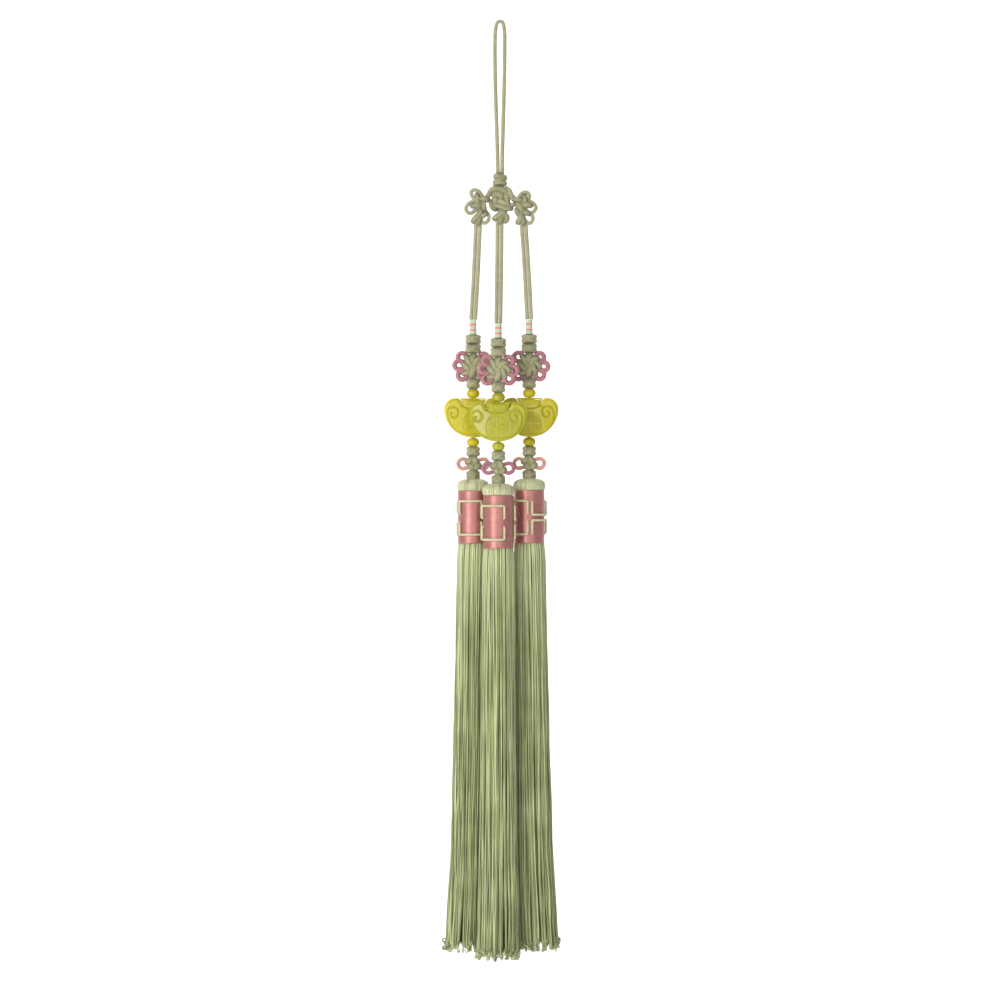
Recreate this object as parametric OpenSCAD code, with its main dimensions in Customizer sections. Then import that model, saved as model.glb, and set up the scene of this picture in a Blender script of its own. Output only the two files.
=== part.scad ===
// A three-strand norigae: folk jewellery that hangs from a jacket's breast tie. A loop of braided silk
// cord holds a woven centre knot, and three strands hang from it. Each has a whipped collar, knots, silk
// petal loops, a pouch of carved jade between two beads, and a long tassel in a wound silk sleeve.
// Millimetres, +Z up, -Y to the front. The origin is the top of the loop's inside, where it hangs.

/* [Cord] */
// Diameter of the braided cord where it hangs free
cord_d = 1.7; // [1.4:0.1:1.8]
// Diameter of the same cord where a knot spreads it
knot_cord_d = 2.0; // [1.7:0.1:2.2]
// Gap between one piece and the next on a strand
seat = 0.15; // [0.1:0.05:0.3]

/* [Top knots] */
// Width of the round knot under the loop
loop_knot_w = 5.9; // [5:0.1:7]
// Height of the round knot under the loop
loop_knot_h = 5.8; // [5:0.1:7]
// Width of the woven centre knot
centre_w = 10.6; // [9:0.2:13]
// Height of the woven centre knot
centre_h = 10.2; // [8:0.2:12]
// How far the centre knot sits off the middle
centre_x = 0.35; // [0:0.05:0.4]
// Width of the small knot under the centre knot
drop_knot_w = 7.4; // [6:0.2:8]
// Height of the small knot under the centre knot
drop_knot_h = 5.0; // [4:0.1:5.2]
// Width of a small flower knot beside it
side_flower_w = 10.8; // [9:0.2:11]

/* [Collars] */
// Diameter of a whipped collar
collar_d = 2.9; // [2.4:0.1:4]
// Height of a whipped collar
collar_h = 6.3; // [4:0.1:9]
// Height of each stripe on a collar
stripe_h = 0.8; // [0.4:0.1:1.2]

/* [Strand knots] */
// Width of the long knot under the collar
neck_w = 6.2; // [5:0.1:7.5]
// Height of the long knot under the collar
neck_h = 7.9; // [6:0.1:11]
// Width of the woven flower knot
flower_w = 10.2; // [9:0.1:11]
// Height of the woven flower knot
flower_h = 10.6; // [9.6:0.1:12]
// Width of the round knots beside the beads
round_w = 5.9; // [5:0.1:7]
// Height of the round knot over the upper bead
under_h = 4.4; // [4:0.1:6]
// Height of the round knot under the lower bead
lower_h = 4.0; // [3.6:0.1:6]
// Width of the woven ginger knot
ginger_w = 7.7; // [7:0.1:9]
// Height of the woven ginger knot
ginger_h = 6.3; // [6:0.1:8]
// Height of the round knot on the tassel
head_h = 3.3; // [3:0.1:5]

/* [Silk loops] */
// Diameter of a silk-wrapped petal
petal_d = 1.9; // [1.4:0.1:2.1]
// Radius of a petal's centre line
petal_r = 1.85; // [1.6:0.05:2.2]
// Diameter of a silk-wrapped loop on the ginger knot
ear_d = 1.7; // [1.3:0.1:2]
// Radius of that loop's centre line
ear_r = 2.1; // [1.8:0.05:2.6]

/* [Jade] */
// Diameter of the bead over the pouch
upper_bead_d = 5.7; // [4.6:0.1:7]
// Height of the bead over the pouch
upper_bead_h = 3.8; // [3:0.1:4.5]
// Diameter of the bead under the pouch
lower_bead_d = 5.5; // [4.6:0.1:7]
// Height of the bead under the pouch
lower_bead_h = 3.7; // [3:0.1:4.5]
// Diameter of the bore through beads and pouch
bore_d = 1.6; // [1.4:0.1:2]
// Clearance of the thread in the bore, all round
thread_gap = 0.15; // [0.1:0.05:0.25]
// Width of the pouch over its two lobes
pouch_w = 25.4; // [22:0.2:26]
// Height of the pouch
pouch_h = 17.0; // [16:0.1:20]
// Thickness of the pouch at its middle
pouch_t = 5.6; // [4.4:0.1:6]
// Thickness of the pouch at its rim
rim_t = 3.2; // [2.4:0.1:4]
// Width of the fluted crown of the pouch
crown_w = 11.1; // [9:0.1:12]
// Width of the carved lines
carve_w = 0.7; // [0.4:0.1:1]

/* [Tassels] */
// Diameter of a tassel's round head
head_d = 14.0; // [12:0.1:14.2]
// Height of a tassel's round head
tassel_head_h = 4.8; // [4:0.1:7]
// Diameter of the wound silk sleeve
sleeve_d = 13.4; // [11:0.1:13.6]
// Height of the wound silk sleeve
sleeve_h = 22.8; // [16:0.2:28]
// Wall of the wound silk sleeve
sleeve_wall = 0.6; // [0.4:0.1:1]
// Length of the fringe under the sleeve
fringe_l = 176; // [120:1:200]
// Diameter of the fringe at its lower end
fringe_d = 18.4; // [16:0.2:21]
// Number of locks round a fringe
locks = 16; // [12:1:16]
// Diameter of the cords laid on the sleeve
fret_d = 0.9; // [0.6:0.1:1]
// Gap between neighbouring tassels where they press
tassel_gap = 0.3; // [0.2:0.1:0.6]

/* [Hidden] */
SIDES = ["left", "middle", "right"];
TOP = ["hanging_loop", "loop_knot", "centre_knot", "drop_knot", "left_side_flower", "right_side_flower"];
PIECES = [
    "drop_cord_a", "drop_cord_b", "collar", "neck_knot", "flower_knot", "petal_loops", "under_knot",
    "upper_bead", "pouch", "thread", "lower_bead", "lower_knot", "ginger_knot", "ginger_loops",
    "head_knot", "tassel", "sleeve", "fret_cords"
];

// The hanging loop's route, from its left end in the knot, over the top, to its right end
LOOP = [
    [-0.95, 0, -64.2], [-1.1, 0, -56], [-1.4, 0, -46], [-1.8, 0, -34], [-2.1, 0, -22], [-2.2, 0, -12],
    [-2.1, 0, -5], [-1.8, 0, -1.6], [-1.1, 0, 0.3], [0, 0, 0.85], [1.1, 0, 0.3], [1.7, 0, -1.6],
    [2.0, 0, -5], [2.0, 0, -12], [1.9, 0, -22], [1.6, 0, -34], [1.3, 0, -46], [1.0, 0, -56],
    [0.95, 0, -64.2]
];
// The two cords of each strand, from the knot that they leave down to the collar
DROPS = [
    [
        [[-10.4, 0, -87.1], [-10.9, 1.2, -99], [-11.6, 3.0, -113], [-12.5, 4.4, -127.2]],
        [[-8.6, 0, -87.1], [-9.1, 1.2, -99], [-9.8, 3.0, -113], [-10.7, 4.4, -127.2]]
    ],
    [
        [[-1.1, 0, -85.9], [-1.2, -1.4, -99], [-1.4, -3.6, -114], [-1.6, -5.6, -129.2]],
        [[0.7, 0, -85.9], [0.6, -1.4, -99], [0.4, -3.6, -114], [0.2, -5.6, -129.2]]
    ],
    [
        [[9.3, 0, -87.1], [10.1, 1.2, -99], [11.0, 3.0, -113], [11.7, 4.4, -127.0]],
        [[11.1, 0, -87.1], [11.9, 1.2, -99], [12.8, 3.0, -113], [13.5, 4.4, -127.0]]
    ]
];
// How far each fringe leans out from its own axis at its lower end
LEANS = [[-3.0, 0.8], [-0.3, -1.0], [3.9, 0.8]];
// How far each pouch has turned on its thread: the side ones pass each other behind the middle one,
// which faces a little the other way
TURNS = [9, -8, 9];

// The axis of each strand, where its two cords end
function last(list) = list[len(list) - 1];
AXES = [for (pair = DROPS) (last(pair[0]) + last(pair[1])) / 2];

// Heights of the pieces of a strand, measured down from the ends of its two cords
collar_top = seat;
neck_top = collar_top + collar_h + seat;
flower_top = neck_top + neck_h + seat;
under_top = flower_top + flower_h + seat;
upper_bead_top = under_top + under_h + seat;
pouch_top = upper_bead_top + upper_bead_h + seat;
lower_bead_top = pouch_top + pouch_h + seat;
lower_top = lower_bead_top + lower_bead_h + seat;
ginger_top = lower_top + lower_h + seat;
head_top = ginger_top + ginger_h + seat;
tassel_top = head_top + head_h + seat;
sleeve_top = tassel_top + tassel_head_h;
fringe_top = sleeve_top + sleeve_h + 2 * seat;

// Heights of the knots at the top
loop_knot_z = LOOP[0][2] - seat;
centre_z = loop_knot_z - loop_knot_h - seat;
drop_knot_z = centre_z - centre_h - seat;

// Small shared sizes
cord_sides = 8;
strand_fn = 6;
layer = 0.36;
core_share = 1.2;
wrap_lean = 8;
wrap_pitch = 0.92;
round_fn = 48;
eps = 0.01;
// A cord spreads a little more in each knot: how much of knot_cord_d its strands are there
flower_fat = 1.25;
ginger_fat = 1.18;
side_fat = 1.15;
centre_fat = 1.1;
drop_fat = 1.06;
// A small side flower's height and the radius of its open loops, as shares of its width
side_tall = 1.5;
side_loop_r = 0.19;
side_loop_turn = 270;
side_loop_fn = 10;

function unit(v) = v / norm(v);

// A smooth route through chosen points, each span cut into equal steps
function on_span(a, b, c, d, t) =
    0.5 * (2 * b + (c - a) * t + (2 * a - 5 * b + 4 * c - d) * t * t + (3 * b - a - 3 * c + d) * t * t * t);
function smooth(p, steps) = concat(
    [for (i = [0:len(p) - 2]) for (k = [0:steps - 1])
        on_span(p[max(i - 1, 0)], p[i], p[i + 1], p[min(i + 2, len(p) - 1)], k / steps)],
    [last(p)]
);

// Directions along a route, and one side direction carried along it without twisting
function direction(p, i) = unit(p[min(i + 1, len(p) - 1)] - p[max(i - 1, 0)]);
function square_to(v, t) = unit(v - (v * t) * t);
function carried(p, v, i = 0) =
    i == len(p) ? [] : let (s = square_to(v, direction(p, i))) concat([s], carried(p, s, i + 1));

// A closed tube of cord along a route. The first side direction only has to lie off the route.
module cord(p, d, sides = cord_sides, side = [0, 1, 0]) {
    across = carried(p, side);
    rings = [for (i = [0:len(p) - 1]) for (k = [0:sides - 1])
        let (b = cross(direction(p, i), across[i]), a = 360 * k / sides)
        p[i] + d / 2 * (cos(a) * across[i] + sin(a) * b)];
    walls = [for (i = [0:len(p) - 2]) for (k = [0:sides - 1])
        let (n = (k + 1) % sides, r = i * sides)
        each [[r + k, r + sides + n, r + n], [r + k, r + sides + k, r + sides + n]]];
    first = [for (k = [0:sides - 1]) k];
    end = [for (k = [sides - 1:-1:0]) (len(p) - 1) * sides + k];
    polyhedron(rings, concat([first], walls, [end]));
}

// A round knot: wraps of cord lie on each other round a core of cord, all leaning a little to one side.
// The top of the knot is at the origin.
module round_knot(w, h, wraps) {
    d = (h - w * sin(wrap_lean)) / (1 + (wraps - 1) * wrap_pitch * cos(wrap_lean) - sin(wrap_lean));
    r = (w - d) / 2;
    pile = (wraps - 1) * wrap_pitch * d;
    translate([0, 0, -h / 2]) rotate([0, -wrap_lean, 0]) rotate_extrude($fn = round_fn) {
        for (k = [0:wraps - 1]) translate([r, k * wrap_pitch * d - pile / 2]) circle(d = d, $fn = round_fn);
        translate([0, -pile / 2]) square([r, pile]);
        translate([0, -pile / 2 - d * 0.4]) square([r * 0.6, pile + d * 0.8]);
    }
}

// A short stretch of cord in a woven knot, between two places in the knot's front plane
module strand(row, w, h, y, d) {
    hull() {
        translate([row[0] * (w - d), y, row[1] * (h - d)]) sphere(d = d, $fn = strand_fn);
        translate([row[2] * (w - d), y, row[3] * (h - d)]) sphere(d = d, $fn = strand_fn);
    }
}

// The same strands on the front of a woven knot and on its back, with thicker ones between them
module woven(rows, core, w, h, d) {
    for (face = [-1, 1]) for (r = rows) strand(r, w, h, face * layer * d, d);
    for (r = core) strand(r, w, h, 0, core_share * d);
}

// Strands of the woven knots, each from one place to another: from_x, from_z, to_x, to_z. They are
// shares of the room that the knot leaves for the middle of a cord, counted from the knot's middle.
FLOWER_ROWS = [
    [-0.42, 0.37, -0.08, 0.04],
    [-0.50, -0.01, 0.10, -0.18],
    [-0.37, -0.39, -0.05, -0.29],
    [0.20, -0.10, 0.00, -0.50],
    [0.05, 0.08, 0.43, -0.34],
    [0.26, 0.16, 0.50, 0.03],
    [0.31, 0.39, -0.03, 0.16],
    [-0.13, 0.50, -0.13, 0.29]
];
FLOWER_CORE = [
    [-0.26, 0.21, 0.26, -0.21],
    [0.21, 0.21, -0.21, -0.21]
];
GINGER_ROWS = [
    [0.10, 0.50, 0.25, 0.06],
    [-0.11, 0.21, -0.50, 0.00],
    [-0.08, -0.09, 0.06, -0.50],
    [0.28, -0.28, 0.50, -0.14],
    [-0.25, 0.50, -0.21, 0.36]
];
GINGER_CORE = [
    [-0.20, 0.28, 0.20, -0.28],
    [0.20, 0.17, -0.20, -0.17]
];
LEFT_ROWS = [
    [-0.09, 0.31, -0.05, 0.09],
    [-0.27, -0.01, 0.10, 0.00],
    [0.17, 0.20, 0.40, 0.20],
    [0.29, 0.11, 0.32, -0.11],
    [-0.05, -0.10, 0.17, -0.22],
    [0.15, -0.24, -0.22, -0.48]
];
LEFT_CORE = [
    [-0.12, 0.20, 0.29, 0.14],
    [-0.22, -0.05, 0.20, -0.25],
    [0.02, -0.34, 0.02, -0.48]
];
RIGHT_ROWS = [
    [0.05, 0.31, 0.10, 0.12],
    [-0.02, 0.03, 0.36, 0.04],
    [-0.17, 0.20, -0.40, 0.20],
    [-0.31, 0.09, -0.08, -0.12],
    [0.00, -0.17, 0.28, -0.23],
    [-0.13, -0.24, -0.34, -0.48]
];
RIGHT_CORE = [
    [0.12, 0.20, -0.29, 0.14],
    [0.22, -0.05, -0.20, -0.25],
    [-0.02, -0.34, -0.02, -0.48]
];
CENTRE_ROWS = [
    [-0.49, 0.21, -0.31, 0.49],
    [-0.31, 0.49, 0.33, 0.49],
    [0.33, 0.49, 0.49, 0.21],
    [-0.27, 0.24, 0.15, 0.16],
    [0.32, 0.22, 0.32, 0.06],
    [-0.23, 0.00, -0.23, -0.15],
    [0.02, -0.09, 0.41, -0.20],
    [-0.47, -0.12, -0.34, -0.42],
    [-0.34, -0.42, 0.34, -0.49],
    [0.34, -0.49, 0.49, -0.20]
];
CENTRE_CORE = [
    [-0.21, 0.37, -0.21, -0.35],
    [-0.05, 0.42, 0.05, -0.37],
    [0.27, 0.37, 0.27, -0.35]
];
DROP_ROWS = [
    [0.07, 0.47, -0.45, -0.16],
    [-0.07, -0.46, 0.19, -0.46],
    [0.27, 0.46, 0.48, -0.13],
    [0.48, -0.13, 0.27, -0.46]
];
DROP_CORE = [
    [0.05, 0.46, 0.08, -0.46],
    [-0.33, -0.20, 0.27, 0.00]
];

// Where the open loops of a small flower knot stand: x, z from the knot's middle, and the way they face
LEFT_LOOPS = [[-0.10, 0.33, 130], [-0.33, -0.05, 187], [0.26, -0.33, -35]];
RIGHT_LOOPS = [[0.03, 0.29, 70], [0.33, -0.05, -7], [0.26, -0.33, -35]];
// The way that a petal faces, and how far out it stands as a share of the knot's half width
PETALS = [[40, 1.13], [1, 1.22], [-36, 1.20], [144, 1.18], [181, 1.19], [222, 1.18]];
petal_turn = 230;
// How far out the middle of a loop on the ginger knot stands, as a share of the knot's width
ear_out = 0.57;
ear_turn = 246;

// Part of a ring that stands in the knot's front plane, open towards the knot
module open_ring(at, facing, r, d, turn, fn) {
    translate([at[0], 0, at[1]]) rotate([90, -facing, 0]) rotate([0, 0, -turn / 2])
        rotate_extrude(angle = turn, $fn = fn) translate([r, 0]) circle(d = d, $fn = fn);
}

module hanging_loop() {
    color("darkseagreen") cord(smooth(LOOP, 2), cord_d);
}

module loop_knot() {
    color("darkseagreen") translate([0, 0, loop_knot_z])
        round_knot(loop_knot_w, loop_knot_h, 3);
}

module centre_knot() {
    color("darkseagreen") translate([centre_x, 0, centre_z - centre_h / 2])
        woven(CENTRE_ROWS, CENTRE_CORE, centre_w, centre_h, knot_cord_d * centre_fat);
}

module drop_knot() {
    color("darkseagreen") translate([0, 0, drop_knot_z - drop_knot_h / 2])
        woven(DROP_ROWS, DROP_CORE, drop_knot_w, drop_knot_h, knot_cord_d * drop_fat);
}

// A small flower knot over the pair of cords that leave it
module side_flower(s, rows, core, loops) {
    pair = (DROPS[s][0][0] + DROPS[s][1][0]) / 2;
    tall = side_flower_w * side_tall;
    color("darkseagreen") translate([pair[0], 0, pair[2] + seat + tall / 2]) {
        woven(rows, core, side_flower_w, tall, knot_cord_d * side_fat);
        for (l = loops)
            open_ring(
                [l[0] * side_flower_w, l[1] * tall], l[2], side_flower_w * side_loop_r, cord_d,
                side_loop_turn, side_loop_fn
            );
    }
}

// Everything on a strand is placed from the ends of its two cords
module on_strand(s, down) {
    translate(AXES[s] - [0, 0, down]) children();
}

module drop_cord(s, which) {
    color("darkseagreen") cord(smooth(DROPS[s][which], 2), cord_d);
}

module collar(s) {
    stripe_r = collar_d / 2 + 0.1;
    color("palegreen") on_strand(s, collar_top) mirror([0, 0, 1]) rotate_extrude($fn = round_fn) {
        polygon([
            [0, 0], [stripe_r, 0], [collar_d / 2, collar_h * 0.1], [collar_d / 2, collar_h], [0, collar_h]
        ]);
        for (share = [0.26, 0.64])
            translate([0, collar_h * share]) square([stripe_r, stripe_h]);
    }
}

module neck_knot(s) {
    color("darkseagreen") on_strand(s, neck_top) round_knot(neck_w, neck_h, 4);
}

module flower_knot(s) {
    color("darkseagreen") on_strand(s, flower_top + flower_h / 2)
        woven(FLOWER_ROWS, FLOWER_CORE, flower_w, flower_h, knot_cord_d * flower_fat);
}

module petal_loops(s) {
    color("palevioletred") on_strand(s, flower_top + flower_h / 2) for (p = PETALS)
        open_ring(
            [flower_w / 2 * p[1] * cos(p[0]), flower_w / 2 * p[1] * sin(p[0])],
            p[0], petal_r, petal_d, petal_turn, round_fn
        );
}

module under_knot(s) {
    color("darkseagreen") on_strand(s, under_top) round_knot(round_w, under_h, 2);
}

// A bead with a flat round its bore and a half-round side
module bead(d, h) {
    mirror([0, 0, 1]) rotate_extrude($fn = round_fn) difference() {
        union() {
            square([(d - h) / 2, h]);
            translate([(d - h) / 2, h / 2]) circle(d = h, $fn = round_fn);
        }
        translate([-d, -eps]) square([d + bore_d / 2, h + 2 * eps]);
    }
}

module upper_bead(s) {
    color("yellowgreen") on_strand(s, upper_bead_top) bead(upper_bead_d, upper_bead_h);
}

module lower_bead(s) {
    color("yellowgreen") on_strand(s, lower_bead_top) bead(lower_bead_d, lower_bead_h);
}

// Sizes of the pouch's outline: two round lobes, a round belly, a crown that flares upwards
lobe_r = pouch_h * 0.29;
lobe_x = pouch_w / 2 - lobe_r;
belly_z = -lobe_r * 1.1;
belly_drop = pouch_h + belly_z;
belly_r = (pow(pouch_w / 2, 2) + pow(belly_drop, 2)) / (2 * belly_drop);
neck_x = crown_w * 0.40;
neck_z = -pouch_h * 0.18;
notch_w = crown_w * 0.09;
// Each face is part of a large ball
swell = (pouch_t - rim_t) / 2;
lens_r = (pow(pouch_w / 2, 2) + swell * swell) / (2 * swell);
lens_z = -pouch_h / 2;

module pouch_belly() {
    for (side = [-1, 1]) translate([side * lobe_x, -lobe_r]) circle(lobe_r, $fn = 96);
    intersection() {
        translate([0, belly_r - pouch_h]) circle(belly_r, $fn = 180);
        translate([-pouch_w, -2 * pouch_h]) square([2 * pouch_w, 2 * pouch_h + belly_z]);
    }
    translate([-lobe_x, belly_z - 1]) square([2 * lobe_x, neck_z - belly_z + 1]);
}

module pouch_crown() {
    top_x = crown_w / 2;
    foot = neck_z - 1;
    polygon([[-top_x, 0], [top_x, 0], [neck_x, neck_z], [neck_x, foot], [-neck_x, foot], [-neck_x, neck_z]]);
}

module pouch_notch() {
    top_x = crown_w / 2 + notch_w * 1.2;
    polygon([
        [crown_w * 0.47, 1], [neck_x, neck_z], [neck_x + notch_w * 0.4, neck_z - notch_w * 0.4],
        [neck_x + notch_w, neck_z], [top_x, -pouch_h * 0.02], [top_x, 1]
    ]);
}

// A carved line: part of a ring cut to an even depth into the round face, at a place on that face
module carved_arc(x, z, r, from, turn) {
    up = z - lens_z;
    translate([0, lens_r - pouch_t / 2, lens_z])
        rotate([-asin(up / lens_r), 0, asin(x / lens_r)])
            translate([0, -sqrt(lens_r * lens_r - r * r), 0]) rotate([90, 0, 0]) rotate([0, 0, from])
                rotate_extrude(angle = turn, $fn = round_fn) translate([r, 0]) circle(d = carve_w, $fn = 24);
}

// What is carved into one face: flutes on the crown, a line under it, a ring, and a scroll on each lobe
module carving() {
    carved_arc(0, -pouch_h * 0.635, pouch_h * 0.28, 0, 360);
    carved_arc(0, pouch_h * 0.10, pouch_h * 0.36, 240, 60);
    for (side = [0, 1]) mirror([side, 0, 0]) {
        carved_arc(lobe_x * 1.02, -pouch_h * 0.34, pouch_h * 0.14, 88, 184);
        carved_arc(0, belly_r - pouch_h, belly_r * 0.86, -70, 58);
    }
    for (k = [-3:3]) translate([k * crown_w * 0.11, -pouch_t * 0.46, neck_z * 0.98])
        rotate([0, k * 4, 0]) cylinder(d = carve_w, h = -neck_z * 0.75, $fn = 24);
}

module pouch(s) {
    color("yellowgreen") on_strand(s, pouch_top) rotate([0, 0, TURNS[s]]) difference() {
        intersection() {
            rotate([90, 0, 0]) union() {
                difference() {
                    linear_extrude(pouch_t, center = true) pouch_belly();
                    for (side = [0, 1]) mirror([side, 0, 0])
                        linear_extrude(pouch_t + 1, center = true) pouch_notch();
                }
                linear_extrude(pouch_t, center = true) pouch_crown();
            }
            translate([0, lens_r - pouch_t / 2, lens_z]) sphere(lens_r, $fn = 180);
            translate([0, pouch_t / 2 - lens_r, lens_z]) sphere(lens_r, $fn = 180);
        }
        translate([0, 0, -pouch_h - 1]) cylinder(d = bore_d, h = pouch_h + 2, $fn = round_fn);
        carving();
        mirror([0, 1, 0]) carving();
    }
}

module thread(s) {
    length = lower_top - upper_bead_top;
    color("olivedrab") on_strand(s, lower_top - seat)
        cylinder(d = bore_d - 2 * thread_gap, h = length - seat, $fn = round_fn);
}

module lower_knot(s) {
    color("darkseagreen") on_strand(s, lower_top) round_knot(round_w, lower_h, 2);
}

module ginger_knot(s) {
    color("darkseagreen") on_strand(s, ginger_top + ginger_h / 2)
        woven(GINGER_ROWS, GINGER_CORE, ginger_w, ginger_h, knot_cord_d * ginger_fat);
}

module ginger_loops(s) {
    color("lightpink") on_strand(s, ginger_top + ginger_h / 2) for (facing = [0, 180])
        open_ring([ginger_w * ear_out * cos(facing), 0], facing, ear_r, ear_d, ear_turn, round_fn);
}

module head_knot(s) {
    color("darkseagreen") on_strand(s, head_top) round_knot(round_w, head_h, 2);
}

// Rows of a tassel from the middle of its head to the ends of its fringe. Each row has the stretch it
// is in, how far down that stretch, its radius as a share of that stretch's own, how deep the
// grooves between locks are as a share of the radius, and how much of the lean it has.
TASSEL_ROWS = [
    ["head", 0.00, 0.30, 0.00, 0],
    ["head", 0.06, 0.66, 0.02, 0],
    ["head", 0.30, 0.92, 0.04, 0],
    ["head", 0.62, 1.00, 0.05, 0],
    ["head", 0.92, 0.96, 0.04, 0],
    ["head", 1.00, 0.88, 0.00, 0],
    ["core", 0.00, 1.00, 0.00, 0],
    ["core", 1.00, 1.00, 0.00, 0],
    ["fringe", 0.00, 0.72, 0.04, 0],
    ["fringe", 0.04, 0.76, 0.06, 0.05],
    ["fringe", 0.20, 0.78, 0.08, 0.15],
    ["fringe", 0.50, 0.83, 0.10, 0.35],
    ["fringe", 0.80, 0.90, 0.12, 0.60],
    ["fringe", 0.98, 1.00, 0.14, 1]
];
core_r = sleeve_d / 2 - sleeve_wall - seat;
function stretch_top(kind) = kind == "head" ? tassel_top : kind == "core" ? sleeve_top : fringe_top;
function stretch_h(kind) =
    kind == "head" ? tassel_head_h - seat : kind == "core" ? sleeve_h + 2 * seat : fringe_l;
function stretch_r(kind) = kind == "head" ? head_d / 2 : kind == "core" ? core_r : fringe_d / 2;

// The middle of a tassel at a share of its lean, and how far it may reach towards its neighbours
function middle(s, lean) = [AXES[s][0], AXES[s][1]] + lean * LEANS[s];
function reach(s, lean, a) = min([for (o = [0:2]) if (o != s)
    let (v = middle(o, lean) - middle(s, lean), c = v * [cos(a), sin(a)] / norm(v))
    c <= 0.1 ? 1000 : (norm(v) - tassel_gap) / 2 / c]);

// One closed body for each tassel: a ring of points for every row, with a groove between the locks
module tassel(s) {
    around = locks * 3;
    ends = fringe_l * 0.012;
    points = [for (r = TASSEL_ROWS) for (k = [0:around - 1])
        let (
            a = 360 * k / around,
            groove = k % 3 == 0 ? 1 - r[3] : 1,
            full = stretch_r(r[0]) * r[2] * groove,
            wide = min(full, reach(s, r[4], a) * groove),
            ragged = r[4] == 1 ? ends * sin(floor(k / 3) * 137) - (k % 3 == 0 ? ends : 0) : 0,
            c = middle(s, r[4])
        )
        [c[0] + wide * cos(a), c[1] + wide * sin(a),
            AXES[s][2] - stretch_top(r[0]) - stretch_h(r[0]) * r[1] - ragged]];
    rows = len(TASSEL_ROWS);
    foot = middle(s, 1);
    tip = [foot[0], foot[1], AXES[s][2] - fringe_top - fringe_l * 0.95];
    walls = [for (i = [0:rows - 2]) for (k = [0:around - 1])
        let (n = (k + 1) % around, q = i * around)
        each [[q + k, q + n, q + around + n], [q + k, q + around + n, q + around + k]]];
    top = [for (k = [around - 1:-1:0]) k];
    low = (rows - 1) * around;
    under = [for (k = [0:around - 1]) [low + k, low + (k + 1) % around, low + around]];
    color("darkkhaki") polyhedron(concat(points, [tip]), concat([top], walls, under));
}

module sleeve(s) {
    color("rosybrown") on_strand(s, sleeve_top + sleeve_h) difference() {
        cylinder(d = sleeve_d, h = sleeve_h, $fn = 96);
        translate([0, 0, -1]) cylinder(d = sleeve_d - 2 * sleeve_wall, h = sleeve_h + 2, $fn = 96);
    }
}

// The fret on each sleeve, by hand from the photograph, and finished round the back: a bracket pair
// from one angle to another, counted from the front towards +X. "open" pairs meet at the outer ends and
// leave a slot at mid height, "bar" pairs have their long sides at mid height.
FRETS = [
    [["open", -57, 35], ["bar", 83, 170], ["open", 178, 255]],
    [["open", -78, 25], ["bar", 73, 161], ["open", 169, 272]],
    [["open", -105, -2], ["bar", 6, 95], ["open", 143, 247]]
];
fret_top = 0.20;
fret_low = 0.83;
fret_slot = 0.05;

module fret_bar(s, z, from, to) {
    on_strand(s, sleeve_top + z) rotate([0, 0, from - 90])
        rotate_extrude(angle = to - from, $fn = 96)
            translate([sleeve_d / 2 + fret_d / 2 + seat / 2, 0]) circle(d = fret_d, $fn = 24);
}

module fret_post(s, angle, from, to) {
    on_strand(s, sleeve_top + to) rotate([0, 0, angle - 90])
        translate([sleeve_d / 2 + fret_d / 2 + seat / 2, 0, 0])
            cylinder(d = fret_d, h = to - from, $fn = 24);
}

module fret_cords(s) {
    mid = (fret_top + fret_low) / 2;
    gap = fret_d / 2 + 0.1;
    color("palegoldenrod") for (f = FRETS[s]) {
        ends = f[0] == "open" ? [fret_top, fret_low] : [mid - fret_slot, mid + fret_slot];
        for (e = ends) fret_bar(s, sleeve_h * e, f[1], f[2]);
        for (a = [f[1], f[2]]) {
            turned = a + (a == f[1] ? 4 : -4);
            high = sleeve_h * (f[0] == "open" ? fret_top : fret_top + 0.01);
            fret_post(s, turned, high + gap, sleeve_h * (mid - fret_slot) - gap);
            fret_post(s, turned, sleeve_h * (mid + fret_slot) + gap, sleeve_h * fret_low - gap);
        }
    }
}

hanging_loop();
loop_knot();
centre_knot();
drop_knot();
side_flower(0, LEFT_ROWS, LEFT_CORE, LEFT_LOOPS);  // left_side_flower
side_flower(2, RIGHT_ROWS, RIGHT_CORE, RIGHT_LOOPS);  // right_side_flower
for (s = [0:2]) {
    drop_cord(s, 0);
    drop_cord(s, 1);
    collar(s);
    neck_knot(s);
    flower_knot(s);
    petal_loops(s);
    under_knot(s);
    upper_bead(s);
    pouch(s);
    thread(s);
    lower_bead(s);
    lower_knot(s);
    ginger_knot(s);
    ginger_loops(s);
    head_knot(s);
    tassel(s);
    sleeve(s);
    fret_cords(s);
}
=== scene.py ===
# %% [markdown]
# A norigae is folk jewellery that hangs from the tie of a jacket. One long braided silk cord is knotted
# into a loop, flower knots and three strands, and each strand carries a pouch of carved jade and a long
# tassel. The CAD model already holds every piece at its real size. This lesson dresses it: each piece
# gets the form of its cord, thread or stone, and a material that shows how it was made.

# %% Load the CAD model
import math
from contextlib import contextmanager
import bpy
import numpy as np
from mathutils import Matrix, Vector
from mathutils.kdtree import KDTree


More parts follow.
